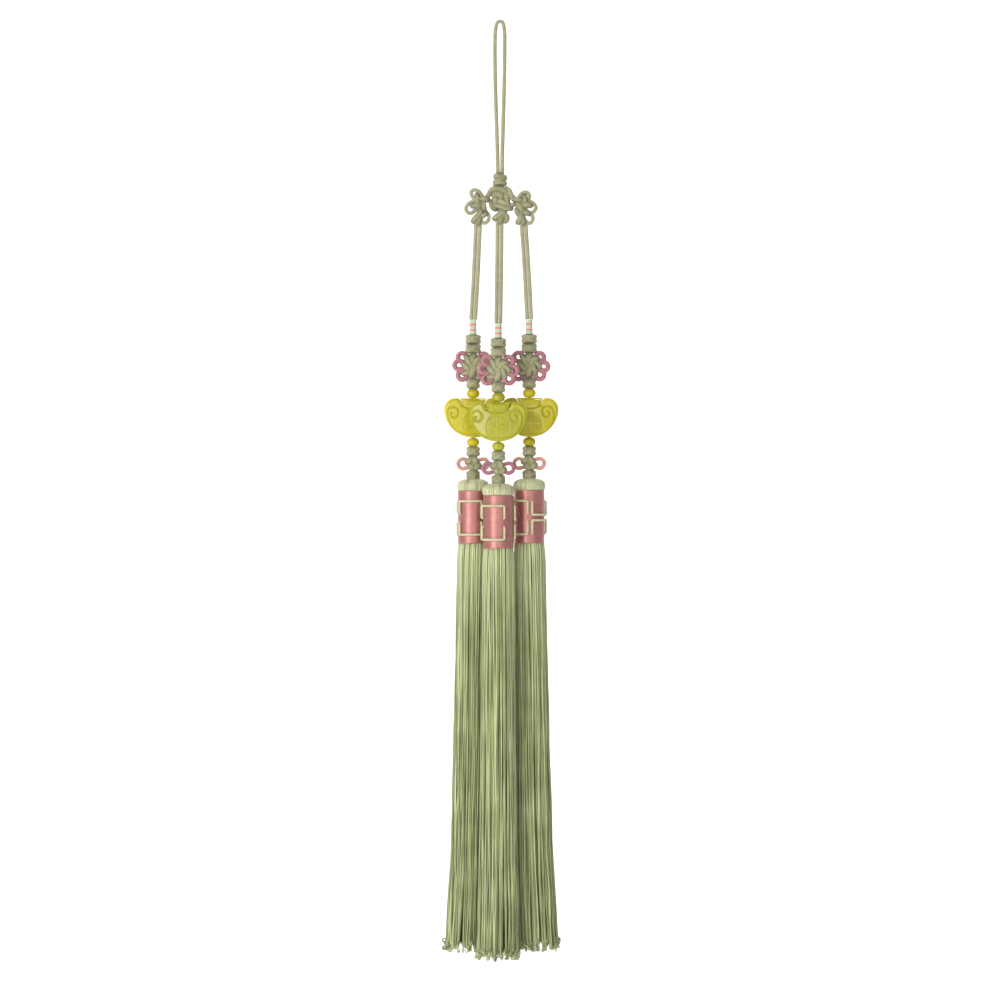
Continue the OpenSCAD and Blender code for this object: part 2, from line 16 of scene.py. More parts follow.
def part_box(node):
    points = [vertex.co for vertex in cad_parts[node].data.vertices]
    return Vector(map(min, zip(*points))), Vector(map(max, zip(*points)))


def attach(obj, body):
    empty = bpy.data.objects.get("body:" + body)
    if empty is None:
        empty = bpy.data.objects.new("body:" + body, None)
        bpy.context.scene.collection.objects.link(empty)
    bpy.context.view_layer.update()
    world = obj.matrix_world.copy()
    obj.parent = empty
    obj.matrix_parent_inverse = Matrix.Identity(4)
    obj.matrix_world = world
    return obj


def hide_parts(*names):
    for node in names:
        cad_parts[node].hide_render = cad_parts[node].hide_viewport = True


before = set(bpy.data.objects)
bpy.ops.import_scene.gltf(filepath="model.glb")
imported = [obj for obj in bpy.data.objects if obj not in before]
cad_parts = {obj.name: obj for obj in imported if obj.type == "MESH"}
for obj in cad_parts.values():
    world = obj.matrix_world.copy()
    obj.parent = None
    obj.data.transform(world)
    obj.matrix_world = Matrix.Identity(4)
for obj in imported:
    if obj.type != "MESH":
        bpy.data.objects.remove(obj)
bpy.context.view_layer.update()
SIDES = ["left", "middle", "right"]
MM = 0.001


def add_object(name, data):
    item = bpy.data.objects.new(name, data)
    bpy.context.collection.objects.link(item)
    return item


# %% [markdown]
# The photograph looks straight at the front from far away, so the camera gets a long lens. Its distance
# follows from the width that the frame takes in, and its height from the middle of the object.

# %% Place the camera
FRAME_WIDTH = 0.430
LENS = 100
SENSOR = 36
MIDDLE_Z = -0.205

camera = add_object("camera", bpy.data.cameras.new("camera"))
camera.data.lens = LENS
camera.data.sensor_width = SENSOR
camera.location = (0, -FRAME_WIDTH * LENS / SENSOR, MIDDLE_Z)
camera.rotation_euler = (math.radians(90), 0, 0)
bpy.context.scene.camera = camera
bpy.context.scene.view_settings.view_transform = "Standard"
print("camera", round(-camera.location.y, 3), "m away")

# %% [markdown]
# Everything soft here is a cord or a thread, so one helper makes them all. A route is a row of points in
# millimetres. It is smoothed through its points and cut into even steps, so that the pattern on the cord
# never stretches.

# %% Smooth a route
def distances_along(route):
    return np.concatenate([[0], np.cumsum(np.linalg.norm(np.diff(route, axis=0), axis=1))])


def length_of(route):
    return float(distances_along(route)[-1])


def unit(vectors):
    return vectors / np.linalg.norm(vectors, axis=-1, keepdims=True)


def upright_plane(points):
    return np.array([(x, 0, z) for x, z in points], float)


def even_steps(route, step):
    along = distances_along(route)
    marks = np.linspace(0, along[-1], max(3, round(along[-1] / step) + 1))
    return np.column_stack([np.interp(marks, along, route[:, axis]) for axis in range(3)])


def smooth_route(points, step):
    p = np.array(points, float)
    p = np.vstack([p[:1], p, p[-1:]])
    t = np.linspace(0, 1, 20, endpoint=False)[:, None]
    spans = [
        0.5 * (2 * b + (c - a) * t + (2 * a - 5 * b + 4 * c - d) * t**2 + (3 * b - a - 3 * c + d) * t**3)
        for a, b, c, d in zip(p, p[1:], p[2:], p[3:])
    ]
    return even_steps(np.vstack(spans + [p[-1:]]), step)


# %% [markdown]
# A tube is a ring of points at every step of its route. The rings are turned by one direction, the way,
# that always lies across the route, which keeps them from twisting. The UV map runs once round the cord
# in U, and in millimetres along it in V, so a braid or a winding can be drawn on it at its real size.
# Each thread may also carry a tone, a number that its material turns into a slightly different colour.
# On the knots the tone is a mask of painted shade, and the fringe's inner layers get lower tones as painted
# shade.
# A new piece is dressed at once: it gets its material, and stands for a node of the CAD.

# %% Make tubes along routes
def tube_rings(route, radius, sides, way, closed):
    if closed:
        ahead = unit(np.roll(route, -1, axis=0) - np.roll(route, 1, axis=0))
    else:
        ahead = unit(np.gradient(route, axis=0))
    across = unit(way - (ahead @ way)[:, None] * ahead)
    other = np.cross(ahead, across)
    turn = (np.arange(sides) * 2 * math.pi / sides)[None, :, None]
    ring = across[:, None] * np.cos(turn) + other[:, None] * np.sin(turn)
    return route[:, None] + ring * np.reshape(radius, (-1, 1, 1))


def tube_walls(count, sides, closed, along):
    rows = count if closed else count - 1
    i, k = np.meshgrid(np.arange(rows), np.arange(sides), indexing="ij")
    up, on = (i + 1) % count, (k + 1) % sides
    quads = np.stack([i * sides + k, i * sides + on, up * sides + on, up * sides + k], -1)
    around = np.stack([k, k + 1, k + 1, k], -1) / sides
    uv = np.stack([around, along[np.stack([i, i, i + 1, i + 1], -1)]], -1)
    return quads.reshape(-1, 4), uv.reshape(-1, 2)


def for_each(value, routes):
    return value if isinstance(value, list) else [value] * len(routes)


def dress(piece, material, node):
    piece.data.materials.append(material)
    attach(piece, "root")
    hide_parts(node)
    piece.data.calc_loop_triangles()
    print(piece.name, len(piece.data.loop_triangles), "triangles")
    return piece


def tubes(name, routes, radii, material, slot, node, sides=14, ways=(0, 1, 0), closed=False, tones=0.5):
    points, walls, caps, wall_uvs, cap_uvs, point_tones = [], [], [], [], [], []
    start = 0
    for route, radius, way, tone in zip(routes, *[for_each(value, routes) for value in (radii, ways, tones)]):
        points.append(tube_rings(route, radius, sides, np.array(way, float), closed).reshape(-1, 3))
        along = distances_along(np.vstack([route, route[:1]]) if closed else route)
        quads, uv = tube_walls(len(route), sides, closed, along)
        walls.append(quads + start)
        wall_uvs.append(uv)
        point_tones.append(np.full(len(points[-1]), tone))
        end = start + len(points[-1])
        if not closed:
            caps += [list(range(start, start + sides))[::-1], list(range(end - sides, end))]
            cap_uvs += [(0.5, 0)] * sides + [(0.5, along[-1])] * sides
        start = end
    mesh = bpy.data.meshes.new(name)
    mesh.from_pydata(np.vstack(points) * MM, [], np.vstack(walls).tolist() + caps)
    uvs = np.vstack([*wall_uvs, np.reshape(cap_uvs, (-1, 2))])
    mesh.uv_layers.new(name="along").data.foreach_set("uv", uvs.ravel())
    mesh.attributes.new("tone", "FLOAT", "POINT").data.foreach_set("value", np.concatenate(point_tones))
    mesh.shade_smooth()
    return dress(add_object(name, mesh), material, node)


# %% [markdown]
# Materials come before the pieces. The same few effects return on many of them, so each effect is a
# node group: it takes a place on the surface and gives back a height or a mask. A small helper adds a
# node, sets its values and joins its inputs. What comes out of a node is wrapped as a Value, and
# arithmetic on Values adds math nodes, so that a recipe reads like a formula.

# %% Helpers for node trees
def add_node(tree, kind, settings=None, **inputs):
    node = tree.nodes.new(kind)
    for key, value in (settings or {}).items():
        setattr(node, key, value)
    for name, source in inputs.items():
        socket = node.inputs[int(name[1:]) if name[0] == "_" else name.replace("_", " ")]
        if isinstance(source, Value):
            source.into(socket)
        else:
            socket.default_value = source
    return node


def result(tree, kind, settings=None, output=0, **inputs):
    return Value(tree, add_node(tree, kind, settings, **inputs).outputs[output])


class Value:
    def __init__(self, tree, socket):
        self.tree = tree
        self.socket = socket

    def into(self, socket):
        self.tree.links.new(self.socket, socket)

    def axis(self, letter):
        return result(self.tree, "ShaderNodeSeparateXYZ", output=letter, Vector=self)

    def math(self, operation, *others):
        numbered = {"_%d" % n: value for n, value in enumerate((self, *others))}
        return result(self.tree, "ShaderNodeMath", {"operation": operation}, **numbered)

    def __add__(self, other):
        return self.math("ADD", other)

    def __sub__(self, other):
        return self.math("SUBTRACT", other)

    def __mul__(self, other):
        return self.math("MULTIPLY", other)

    def __truediv__(self, other):
        return self.math("DIVIDE", other)


def noise(place, scale, detail, **more):
    return result(place.tree, "ShaderNodeTexNoise", Vector=place, Scale=scale, Detail=detail, **more)


def new_group(name, numbers, outputs):
    tree = bpy.data.node_groups.new(name, "ShaderNodeTree")
    tree.interface.new_socket(name="Place", in_out="INPUT", socket_type="NodeSocketVector")
    for label, value in numbers.items():
        socket = tree.interface.new_socket(name=label, in_out="INPUT", socket_type="NodeSocketFloat")
        socket.default_value = value
    for label in outputs:
        tree.interface.new_socket(name=label, in_out="OUTPUT", socket_type="NodeSocketFloat")
    entry = tree.nodes.new("NodeGroupInput").outputs
    take = {label: Value(tree, entry[label]) for label in ("Place", *numbers)}
    return tree, take, tree.nodes.new("NodeGroupOutput").inputs


# %% [markdown]
# The cord is an eight-strand silk braid. Its plaits lie in columns, and they lean one way in one column
# and the other way in the next, which gives rows of small Vs. The group cuts U into columns and V into
# rows, shifts each row by the place across its column, and rounds each plait off towards its edges.

# %% Node group: braid
PLAIT_WIDE, PLAIT_LONG = 0.92 * math.pi, 0.96 * math.pi

braid, take, give = new_group("braid", {"Columns": 20, "Row": 0.34}, ["Height", "Plait"])
column = take["Place"].axis("X") * take["Columns"]
inside = column.math("FRACT") - 0.5
number = column.math("FLOOR")
lean = number.math("MODULO", 2) * 2 - 1
row = take["Place"].axis("Y") / take["Row"] + lean * inside
across_plait = (inside * PLAIT_WIDE).math("COSINE")
along_plait = ((row.math("FRACT") - 0.5) * PLAIT_LONG).math("COSINE")
(across_plait * along_plait).math("POWER", 0.5).into(give["Height"])
cell = result(braid, "ShaderNodeCombineXYZ", X=number, Y=row.math("FLOOR"))
one_plait = result(braid, "ShaderNodeTexWhiteNoise", {"noise_dimensions": "2D"}, "Value", Vector=cell)
one_plait.into(give["Plait"])
print("braid group:", len(braid.nodes), "nodes")

# %% [markdown]
# A thread wound round and round shows as fine lines across the piece. Each turn is a low round rib, and
# no two turns are quite the same, so the group also gives every turn its own number. It is told how far
# along the winding it is, in millimetres, and it wobbles that a little.

# %% Node group: winding
WOBBLE_SCALE, WOBBLE_TURNS = 220, 1.6

winding, take, give = new_group("winding", {"Along": 0, "Pitch": 0.2}, ["Height", "Turn"])
wobble = (noise(take["Place"], WOBBLE_SCALE, 1) - 0.5) * WOBBLE_TURNS
turns = take["Along"] / take["Pitch"] + wobble
(turns.math("FRACT") * math.pi).math("SINE").math("POWER", 0.6).into(give["Height"])
number = turns.math("FLOOR")
one_turn = result(winding, "ShaderNodeTexWhiteNoise", {"noise_dimensions": "1D"}, "Value", W=number)
one_turn.into(give["Turn"])
print("winding group:", len(winding.nodes), "nodes")

# %% [markdown]
# Silk yarn is plied: two or three thin threads are twisted together. On a single tube that shows as a
# groove that climbs round it, so the group adds U and V before it makes its ribs.

# %% Node group: ply
ply, take, give = new_group("ply", {"Plies": 2, "Twist": 1.4}, ["Height"])
climb = take["Place"].axis("X") + take["Place"].axis("Y") / take["Twist"]
((climb * take["Plies"]).math("FRACT") * math.pi).math("SINE").into(give["Height"])
print("ply group:", len(ply.nodes), "nodes")

# %% [markdown]
# Soft yarn shows no plies, only fine fibres that run along it. The group bends U into a circle, so that
# the fibres meet where U starts again, and stretches a noise pattern along V.

# %% Node group: fibres
fibres, take, give = new_group("fibres", {"Across": 1.5, "Long": 0.8}, ["Height"])
angle = take["Place"].axis("X") * (2 * math.pi)
side_way = angle.math("COSINE") * take["Across"]
deep_way = angle.math("SINE") * take["Across"]
long_way = take["Place"].axis("Y") * take["Long"]
bent = result(fibres, "ShaderNodeCombineXYZ", X=side_way, Y=deep_way, Z=long_way)
noise(bent, 1, 3).into(give["Height"])
print("fibres group:", len(fibres.nodes), "nodes")


# %% [markdown]
# A material starts from places: the UV map along a cord, or the object's own coordinates. Colours are
# written as the eye reads them on a screen, from 0 to 255, and turned into the linear values that the
# shader works with. Only the painted crevice shade, which darkens another colour, is given as linear
# values already.

# %% Helpers for materials
def cord_place(tree):
    return result(tree, "ShaderNodeUVMap", {"uv_map": "along"})


def object_place(tree):
    return result(tree, "ShaderNodeTexCoord", output="Object")


def attribute(tree, name):
    return result(tree, "ShaderNodeAttribute", {"attribute_name": name}, "Fac")


def stretched_noise(tree, scale):
    place = result(tree, "ShaderNodeMapping", Vector=object_place(tree), Scale=scale)
    return noise(place, 1, 2)


def shade(red, green, blue):
    values = np.array([red, green, blue]) / 255
    linear = np.where(values <= 0.04045, values / 12.92, ((values + 0.055) / 1.055) ** 2.4)
    return (*linear.tolist(), 1)


def ramp(factor, stops):
    node = add_node(factor.tree, "ShaderNodeValToRGB", Fac=factor)
    elements = node.color_ramp.elements
    while len(elements) < len(stops):
        elements.new(0.5)
    for element, (at, colour) in zip(elements, stops):
        element.position = at
        element.color = colour if len(colour) == 4 else shade(*colour)
    return Value(factor.tree, node.outputs["Color"])


def mixed(first, second, share):
    return first * (1 - share) + second * share


def mix_colours(share, first, second, blend="MIX"):
    settings = {"data_type": "RGBA", "blend_type": blend}
    return result(first.tree, "ShaderNodeMix", settings, 2, _0=share, _6=first, _7=second)


def new_material(name, **values):
    material = bpy.data.materials.new(name)
    material.use_nodes = True
    shader = material.node_tree.nodes["Principled BSDF"]
    for key, value in values.items():
        shader.inputs[key.replace("_", " ")].default_value = value
    return material, material.node_tree


def paint(colour, height=None, distance=0.0, strength=1.0):
    shader = colour.tree.nodes["Principled BSDF"]
    colour.into(shader.inputs["Base Color"])
    if height is not None:
        bump = result(colour.tree, "ShaderNodeBump", Height=height, Distance=distance, Strength=strength)
        bump.into(shader.inputs["Normal"])


# %% [markdown]
# Every silk material is built the same way: a dark, a middle and a light colour are mixed by the height
# of its pattern and by a tone, and the same height drives the bump. Through the height the low gaps get
# painted shade and the raised crests painted light. The tone is a number of the thread, or of the single
# plait, and a slow noise is mixed into it. A material may paint more light or shade onto its colour in
# its own way at the end.

# %% Recipe for silk
SILK_STOPS = (0.12, 0.55, 0.95)
DRIFT_SCALE = 90


def silk(name, group, settings, colours, relief, own="tone", weight=0.35, roughness=0.38, painted_lighting=None):
    material, tree = new_material(name, Sheen_Weight=0.2, Roughness=roughness)
    node = add_node(tree, "ShaderNodeGroup", {"node_tree": group}, Place=cord_place(tree), **settings)
    height = Value(tree, node.outputs["Height"])
    tone = Value(tree, node.outputs[own]) if own in node.outputs else attribute(tree, own)
    drift = noise(object_place(tree), DRIFT_SCALE, 3)
    # The height paints shade into the low gaps and light onto the raised crests.
    colour = ramp(mixed(height, mixed(tone, drift, 0.5), weight), list(zip(SILK_STOPS, colours)))
    paint(painted_lighting(colour) if painted_lighting else colour, height, relief)
    return material


# %% [markdown]
# The braided cord comes in one material for the stretches that hang free and one for the knots, where
# the cord is pressed flat and spread, so its plaits lie closer and the painted shade in the gaps
# between them is darker. The knots also get painted shade where a crevice was marked on the mesh.

# %% Materials for the cord
CREVICE_SHADE_GREYS = [(0.0, 0.1), (0.5, 0.78), (1.0, 1.08)]


# Painted shade: the colour is multiplied by a grey that is darkest where the tone marks a crevice.
def paint_crevice_shade(colour):
    shade_greys = ramp(attribute(colour.tree, "tone"), [(at, (grey, grey, grey, 1)) for at, grey in CREVICE_SHADE_GREYS])
    return mix_colours(1.0, colour, shade_greys, "MULTIPLY")


sage_cord = silk(
    "sage_cord", braid, {"Columns": 12, "Row": 0.52}, [(66, 62, 28), (156, 153, 110), (214, 211, 172)],
    0.0002, "Plait",
)
sage_knot = silk(
    "sage_knot", braid, {"Columns": 20, "Row": 0.36}, [(44, 38, 10), (150, 147, 103), (214, 211, 168)],
    0.00022, "Plait", painted_lighting=paint_crevice_shade,
)
print("cord materials ready")

# %% [markdown]
# The hanging loop and the two cords over each strand are free cord, so they come first. Their routes
# are the ones in the CAD source, in millimetres. Each strand's pair starts in the knots at the top and
# ends in a collar, and the middle strand hangs in front of the other two. The routes below are those
# of the left cord of each pair; the right one runs beside it.

# %% Routes of the free cords
CORD, CORD_STEP = 1.7, 0.8
LOOP = [
    (-0.95, 0, -64.2), (-1.1, 0, -56), (-1.4, 0, -46), (-1.8, 0, -34), (-2.1, 0, -22), (-2.2, 0, -12),
    (-2.1, 0, -5), (-1.8, 0, -1.6), (-1.1, 0, 0.3), (0, 0, 0.85), (1.1, 0, 0.3), (1.7, 0, -1.6),
    (2.0, 0, -5), (2.0, 0, -12), (1.9, 0, -22), (1.6, 0, -34), (1.3, 0, -46), (1.0, 0, -56),
    (0.95, 0, -64.2),
]
PAIR_GAP = 1.8
DROPS = {
    "left": [(-10.4, 0, -87.1), (-10.9, 1.2, -99), (-11.6, 3.0, -113), (-12.5, 4.4, -127.2)],
    "middle": [(-1.1, 0, -85.9), (-1.2, -1.4, -99), (-1.4, -3.6, -114), (-1.6, -5.6, -129.2)],
    "right": [(9.3, 0, -87.1), (10.1, 1.2, -99), (11.0, 3.0, -113), (11.7, 4.4, -127.0)],
}


def beside(points):
    return (np.array(points) + [PAIR_GAP, 0, 0]).round(1)


print("free cords:", 1 + 2 * len(DROPS))

# %% [markdown]
# Each free cord is one tube along its smoothed route.

# %% Make the free cords
def free_cord(name, points):
    route = smooth_route(points, CORD_STEP)
    cord = tubes(name, [route], CORD / 2, sage_cord, "sage_cord", name, sides=16)
    print(name, round(length_of(route), 1), "mm long")


free_cord("hanging_loop", LOOP)
for strand, points in DROPS.items():
    free_cord(strand + "_drop_cord_a", points)
    free_cord(strand + "_drop_cord_b", beside(points))


# %% [markdown]
# A node's box gives the place of its piece. Every piece of a strand is centred on the strand's axis, and
# the sleeve's box gives that axis most simply, because a sleeve is a plain tube.

# %% Places from the CAD nodes
def low_high(node):
    low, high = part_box(node)
    return np.array(low) / MM, np.array(high) / MM


def middle_of(node):
    low, high = low_high(node)
    return (low + high) / 2


AXES = {side: middle_of(side + "_sleeve")[:2] for side in SIDES}
print("axes in mm:", [axis.round(2).tolist() for axis in AXES.values()])

# %% [markdown]
# A woven knot is one long cord drawn through itself. From the front it shows short stretches that come
# up, cross and dive again. Each is listed by how thick it looks, how high it lies and where it runs, in
# millimetres from the knot's middle. A stretch goes over the front, turns at its end and comes back
# behind, so it becomes a closed link of cord, and the back of the knot is woven like its front. Points
# that lie deep in the knot, or face away, get a low tone, and the knot's material paints shade there:
# these are the crevices that look dark.

# %% Make one link of cord
LINK_STEP = 0.3
END_RISE, MIDDLE_RISE = 0.8, 0.3
# Depths, facing and least tone of the painted crevice shade.
CREVICE_DEPTH, OPEN_DEPTH = 0.5, 2.0
FULL_FACING = 0.8
LEAST_TONE = 0.25


def link_route(points, deep):
    flat = smooth_route(upright_plane(points), LINK_STEP)
    arc = END_RISE * deep
    skip = min(round(arc / LINK_STEP), (len(flat) - 3) // 2)
    flat = flat[skip : len(flat) - skip]
    rise = deep * (END_RISE + MIDDLE_RISE * np.sin(np.linspace(0, math.pi, len(flat))))
    front = flat - np.outer(rise, [0, 1, 0])
    behind = front[::-1] * [1, -1, 1]
    turn = np.linspace(0, math.pi, 6)[1:-1, None]
    depth = np.cos(turn) * np.array([0, 1, 0])
    last, first = [
        at + arc * (np.sin(turn) * unit(at - before) - depth)
        for at, before in ((flat[-1], flat[-2]), (flat[0], flat[1]))
    ]
    route = np.vstack([front, last, behind, first[::-1]])
    return route, np.cross(unit(flat[-1] - flat[0]), [0, 1, 0])


def vertex_values(piece, what):
    values = np.empty(len(piece.data.vertices) * 3)
    piece.data.vertices.foreach_get(what, values)
    return values.reshape(-1, 3)


def mark_crevice_shade(piece, centre, around):
    out = vertex_values(piece, "co") / MM - centre
    depth = np.ones(len(out))
    if not around:
        depth = np.clip((np.abs(out[:, 1]) - CREVICE_DEPTH) / (OPEN_DEPTH - CREVICE_DEPTH), 0, 1)
    out *= (1, 1, 0) if around else (0, 1, 0)
    out /= np.maximum(np.linalg.norm(out, axis=1, keepdims=True), 0.01)
    facing = np.clip((vertex_values(piece, "normal") * out).sum(axis=1) / FULL_FACING, 0, 1)
    # The tone is the painted shade mask: low deep in the knot and where the cord turns away.
    tones = depth * (LEAST_TONE + (1 - LEAST_TONE) * facing)
    piece.data.attributes["tone"].data.foreach_set("value", tones)


def woven_knot(name, links, centre, node):
    made = [link_route(points, deep) for _, deep, points in links]
    routes = [route + centre for route, _ in made]
    radii = [thick / 2 for thick, _, _ in links]
    ways = [way for _, way in made]
    knot = tubes(name, routes, radii, sage_knot, "sage_knot", node, ways=ways, closed=True)
    # Painted shade in the knot's crevices.
    mark_crevice_shade(knot, centre, False)


print("one link:", len(link_route([(-2, 0), (2, 0)], 0.9)[0]), "rings")

# %% [markdown]
# The flower knot has eight stretches round a small hollow, and the ginger knot under the pouch has
# five. Three thick links behind them close the knot, as the rest of the cord does on the real one.

# %% Flower knots and ginger knots
FLOWER_LINKS = [
    (3.2, 0.3, [(-2.3, 1.9), (2.3, -1.9)]),
    (3.2, 0.3, [(1.9, 1.9), (-1.9, -2.0)]),
    (2.8, 0.3, [(0.3, 4.6), (0.1, -4.4)]),
    (2.6, 0.75, [(-0.8, 4.2), (-0.4, 3.4), (-0.35, 2.4), (-0.5, 1.3)]),
    (2.4, 1.05, [(3.9, 2.75), (2.6, 2.8), (1.4, 2.2), (0.4, 1.0)]),
    (2.3, 0.85, [(2.2, 1.4), (3.5, 0.8), (4.3, 0.0), (4.5, -0.9)]),
    (2.4, 0.95, [(1.2, 0.7), (1.8, -0.6), (2.4, -1.9), (2.8, -3.6)]),
    (2.7, 1.1, [(0.5, -0.1), (0.25, -1.6), (-0.3, -3.2), (-0.9, -4.2)]),
    (2.4, 0.85, [(-4.2, -3.2), (-3.2, -3.15), (-2.0, -2.95), (-1.2, -2.8)]),
    (2.6, 0.8, [(-4.2, 1.0), (-3.3, 0.0), (-2.3, -1.1), (-1.2, -2.1)]),
    (2.4, 1.1, [(-3.1, 4.0), (-2.2, 2.5), (-1.4, 1.1), (-0.5, -0.3)]),
]
GINGER_LINKS = [
    (2.6, 0.3, [(-1.3, 1.6), (1.4, -1.6)]),
    (2.6, 0.3, [(1.2, 0.9), (-1.2, -1.2)]),
    (2.8, 0.2, [(0.1, 2.9), (-0.1, -2.9)]),
    (2.1, 0.6, [(-1.0, 2.7), (-0.95, 2.2), (-0.8, 1.2)]),
    (2.7, 1.05, [(0.45, 2.6), (0.84, 1.5), (1.35, 0.2)]),
    (2.6, 0.95, [(-2.7, 0.6), (-1.74, 1.05), (-0.5, 1.74)]),
    (2.7, 1.05, [(-1.09, -0.32), (-0.71, -1.5), (-0.06, -2.6)]),
    (2.7, 0.95, [(2.6, -0.4), (1.87, -1.09), (0.71, -1.99)]),
]
for side in SIDES:
    for kind, links in (("flower", FLOWER_LINKS), ("ginger", GINGER_LINKS)):
        node = side + "_" + kind + "_knot"
        woven_knot(side + "_" + kind + "_links", links, middle_of(node), node)

# %% [markdown]
# The large knot in the middle of the top has an arch over two rows of stretches that lie across each
# other like a basket. A smaller knot hangs under it, where the middle strand's two cords leave.

# %% Centre knot and drop knot
CENTRE_LINKS = [
    (2.9, 0.3, [(-2.6, 3.2), (-2.4, -3.4)]),
    (2.9, 0.3, [(0.0, 3.6), (0.0, -3.6)]),
    (2.9, 0.3, [(2.6, 3.0), (2.6, -3.6)]),
    (2.2, 0.9, [(2.4, 4.2), (3.7, 3.2), (4.4, 1.5), (5.2, 0.4), (6.1, -0.3)]),
    (2.1, 0.7, [(-4.5, 2.9), (-5.2, 1.6), (-5.9, 0.7)]),
    (2.4, 1.1, [(-4.6, 2.4), (-3.8, 3.8), (-1.6, 4.2), (0.7, 3.8), (2.8, 2.8)]),
    (2.5, 1.05, [(-3.1, 1.6), (-2.0, 1.8), (-0.8, 1.5), (1.0, 0.9)]),
    (2.2, 1.0, [(2.0, 2.1), (2.2, 0.8), (2.4, -0.6)]),
    (2.4, 0.95, [(-2.9, 0.6), (-2.5, -0.6), (-2.2, -1.9)]),
    (2.4, 1.1, [(-1.1, -1.0), (0.9, -1.6), (3.3, -2.5)]),
    (2.0, 0.75, [(-4.2, -1.2), (-4.1, -3.0), (-3.3, -4.2), (-2.2, -4.6)]),
    (2.1, 1.0, [(-2.8, -3.0), (-0.4, -3.4), (2.2, -4.3), (4.6, -4.3)]),
    (1.9, 0.65, [(3.9, -3.1), (5.2, -2.8), (6.1, -2.3)]),
]
DROP_LINKS = [
    (2.8, 0.3, [(0.3, 2.7), (0.0, -2.4)]),
    (2.4, 0.4, [(-1.6, -0.3), (2.1, 0.0)]),
    (2.5, 1.0, [(1.9, 2.1), (0.5, 1.3), (-1.1, 0.2), (-2.4, -0.9)]),
    (2.2, 0.8, [(1.7, 1.2), (2.7, 0.2), (3.0, -1.1), (2.2, -2.0)]),
    (1.9, 0.75, [(-0.6, -0.9), (0.5, -1.3), (1.5, -1.7)]),
]
woven_knot("centre_knot_links", CENTRE_LINKS, middle_of("centre_knot"), "centre_knot")
woven_knot("drop_knot_links", DROP_LINKS, middle_of("drop_knot"), "drop_knot")

# %% [markdown]
# A small flower knot stands over each outer pair of cords. Three of its loops stay open: these are
# plain stretches of cord that leave the knot, bend round and go back in.

# %% Stretches and loops of the side flowers
LEFT_LINKS = [
    (2.4, 0.3, [(0.4, 3.6), (0.6, -2.0)]),
    (2.4, 0.3, [(-0.4, 1.0), (2.2, 1.2)]),
    (2.7, 0.3, [(1.2, -2.6), (0.1, -7.4)]),
    (2.3, 0.9, [(-0.4, 4.9), (-0.3, 3.2), (-0.1, 1.0)]),
    (2.3, 0.9, [(1.1, 3.3), (2.6, 3.2), (4.3, 2.9)]),
    (2.2, 1.0, [(-2.6, 0.2), (-0.5, 0.4), (1.7, 0.6)]),
    (2.1, 0.9, [(2.3, 1.9), (2.5, 0.6), (2.9, -1.4)]),
    (2.1, 0.8, [(3.7, -2.9), (2.6, -3.6), (1.1, -4.7)]),
    (2.5, 1.1, [(1.3, -1.6), (0.6, -3.1), (-0.9, -4.9), (-2.0, -6.3)]),
]
LEFT_LOOPS = [
    [(-0.4, 2.2), (-1.9, 3.7), (-2.9, 5.2), (-2.8, 6.6), (-1.4, 7.2), (0.3, 6.6), (1.6, 5.0), (2.8, 3.2)],
    [(0.2, 2.0), (-1.6, 2.4), (-3.5, 1.6), (-5.0, 0.0), (-5.1, -1.6), (-3.7, -2.9), (-2.0, -2.3),
     (-0.9, -0.8), (0.2, 0.2)],
    [(1.9, -0.6), (3.3, -2.0), (4.6, -3.8), (4.5, -5.8), (3.2, -7.0), (1.8, -6.6), (1.0, -5.2), (0.3, -3.8)],
]
RIGHT_LINKS = [
    (2.4, 0.3, [(-0.2, 3.4), (-0.4, -2.0)]),
    (2.4, 0.3, [(0.6, 1.0), (-2.0, 1.2)]),
    (2.7, 0.3, [(-1.0, -2.6), (0.0, -7.4)]),
    (2.1, 0.9, [(0.4, 4.4), (0.6, 3.1), (0.9, 1.7)]),
    (2.3, 0.9, [(-4.3, 3.2), (-2.6, 3.0), (-0.9, 2.8)]),
    (2.5, 1.0, [(-0.3, 0.4), (1.4, 0.6), (3.1, 0.5)]),
    (2.5, 1.05, [(-2.6, 1.4), (-1.6, -0.2), (-0.7, -1.6)]),
    (2.1, 0.8, [(-3.0, -1.2), (-2.9, -2.4), (-2.2, -3.4)]),
    (2.2, 1.0, [(0.0, -2.2), (1.2, -2.7), (2.4, -3.2)]),
    (2.4, 1.1, [(-1.0, -3.3), (-1.6, -5.0), (-2.5, -6.8)]),
]
RIGHT_LOOPS = [
    [(-2.6, 2.4), (-2.1, 3.8), (-1.2, 5.4), (0.4, 6.3), (2.0, 5.6), (2.5, 4.4), (1.9, 3.2), (1.0, 2.0)],
    [(0.8, 2.4), (2.6, 2.3), (4.5, 1.1), (5.2, -0.6), (4.5, -2.0), (3.2, -2.7), (1.8, -2.2), (0.6, -1.0),
     (0.0, 0.4)],
    [(1.6, -2.2), (3.2, -3.4), (4.0, -5.0), (3.4, -6.6), (2.0, -7.2), (0.8, -6.2), (0.1, -4.8), (-0.4, -3.2)],
]
print("side flowers:", len(LEFT_LINKS), "and", len(RIGHT_LINKS), "stretches")

# %% [markdown]
# Under each of the three knots the strand's two cords come out. Short ends of cord, a hair thicker than
# the free cords, run up into the knot, so that no gap shows where the cords start.

# %% Make the side flowers
SIDE_TALL, SIDE_UP = 16.2, 0.15
END_UP, END_DOWN = 2.6, 0.25
END_EXTRA = 0.03
LOOP_STEP, END_STEP = 0.35, 0.4


def cord_tops(strand):
    return [np.array(DROPS[strand][0]), beside(DROPS[strand][0])]


